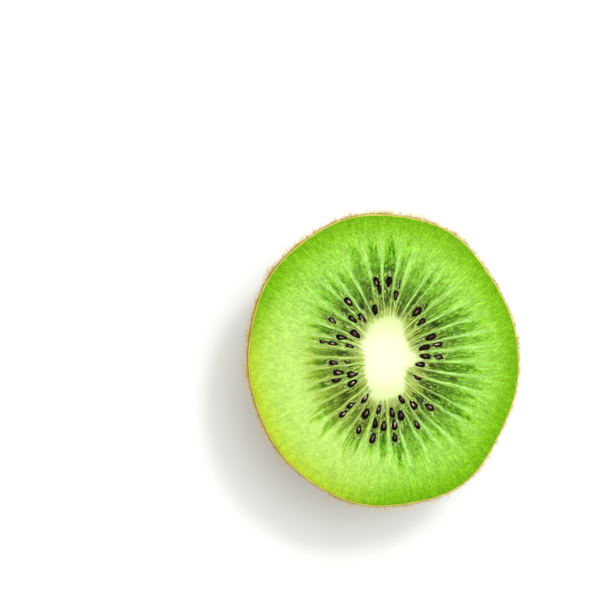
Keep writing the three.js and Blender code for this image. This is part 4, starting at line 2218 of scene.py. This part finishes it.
@dataclass(frozen=True)
class Lamp:
    """A round lamp that points at the fruit."""

    name: str
    power: float  # watts
    size: float
    height: float  # degrees above the floor
    heading: float = 48.0  # degrees from +X
    distance: float = 0.5
    colour: tuple[float, float, float] = (0.95, 0.985, 1.0)

    def add(self) -> None:
        """Adds the lamp to the scene."""
        data = bpy.data.lights.new(self.name, "AREA")
        data.shape = "DISK"
        data.size = self.size
        data.energy = self.power
        data.color = self.colour
        height, heading = math.radians(self.height), math.radians(self.heading)
        flat = math.cos(height)
        way = Vector((flat * math.cos(heading), flat * math.sin(heading), math.sin(height)))
        lamp = put(self.name, data)
        lamp.location = way * self.distance
        lamp.rotation_euler = way.to_track_quat("Z", "Y").to_euler()


@dataclass(frozen=True)
class Studio:
    """Pale floor, soft light and a camera that looks straight down on the cut face."""

    plan: FruitPlan
    lens: float = 85.0
    sensor: float = 36.0
    clip: Span = (0.01, 10.0)
    distance: float = 265.6 * MM  # above the cut face
    up_heading: float = 82.2  # degrees from +X to the top of the picture
    aim_right: float = -15.66 * MM  # the picture's middle, from the middle of the cut face
    aim_up: float = 11.25 * MM
    floor_radius: float = 4.0
    floor_corners: int = 64
    floor_gap: float = 0.02 * MM
    sky_colour: Dye = dye(255, 252, 240)
    sky_above: float = 0.02
    sky_around: float = 1.7
    lamps: tuple[Lamp, ...] = (
        Lamp("key", power=1.5, size=0.3, height=72.0),
        Lamp("spark", power=0.5, size=0.06, height=66.0),
    )

    def add_camera(self) -> None:
        """Adds the camera and makes it the scene's own."""
        heading = math.radians(self.up_heading)
        up = Vector((math.cos(heading), math.sin(heading), 0))
        back = Vector((0, 0, 1))
        right = up.cross(back)
        data = bpy.data.cameras.new("camera")
        data.lens = self.lens
        data.sensor_width = self.sensor
        data.clip_start, data.clip_end = self.clip
        height = self.plan.form.height + self.distance
        place = right * self.aim_right + up * self.aim_up + back * height
        turn = Matrix((right, up, back)).transposed().to_4x4()
        camera = put("camera", data)
        camera.matrix_world = Matrix.Translation(place) @ turn
        bpy.context.scene.camera = camera

    def add_surroundings(self) -> None:
        """Adds the light of the surroundings, bright round the sides and dim above."""
        world = bpy.data.worlds.new("surroundings")
        world.use_nodes = True
        tree = world.node_tree
        tree.nodes.clear()
        way = Wire(add_node(tree, "ShaderNodeTexCoord").outputs["Generated"])
        height = way.into("ShaderNodeSeparateXYZ", "Z", {0: way})
        levels = {"Value": height, "To Min": self.sky_around, "To Max": self.sky_above}
        fall = height.into("ShaderNodeMapRange", "Result", levels)
        light = {"Color": self.sky_colour, "Strength": fall}
        sky = fall.into("ShaderNodeBackground", "Background", light)
        add_node(tree, "ShaderNodeOutputWorld", {"Surface": sky})
        bpy.context.scene.world = world

    def add_floor(self) -> None:
        """Adds the pale floor just under the fruit."""
        turn = circle(self.floor_corners)
        corners = polar(turn, self.floor_radius, -self.floor_gap)
        mesh = bpy.data.meshes.new("floor")
        mesh.from_pydata(corners.tolist(), [], [range(self.floor_corners)])
        mesh.materials.append(FloorFinish().make())
        put("floor", mesh)

    def build(self) -> None:
        """Sets up floor, light, camera and the way that colours are shown."""
        self.add_camera()
        for lamp in self.lamps:
            lamp.add()
        self.add_surroundings()
        self.add_floor()
        bpy.context.scene.view_settings.view_transform = "Standard"


def main() -> None:
    """Builds the dressed half, piece by piece, and the studio round it."""
    logging.basicConfig(level=logging.INFO, format="%(name)s: %(message)s")
    plan = FruitPlan()
    pattern = CutPattern(plan)
    Studio(plan).build()
    flesh = CutFlesh(plan, pattern)
    flesh.build()
    Seeds(plan).build()
    JuiceBeads(plan, pattern).build(flesh)
    skin = Skin(plan)
    skin.build()
    StalkScar(plan, skin).build()
    Fuzz(plan, skin).build()


if __name__ == "__main__":
    main()
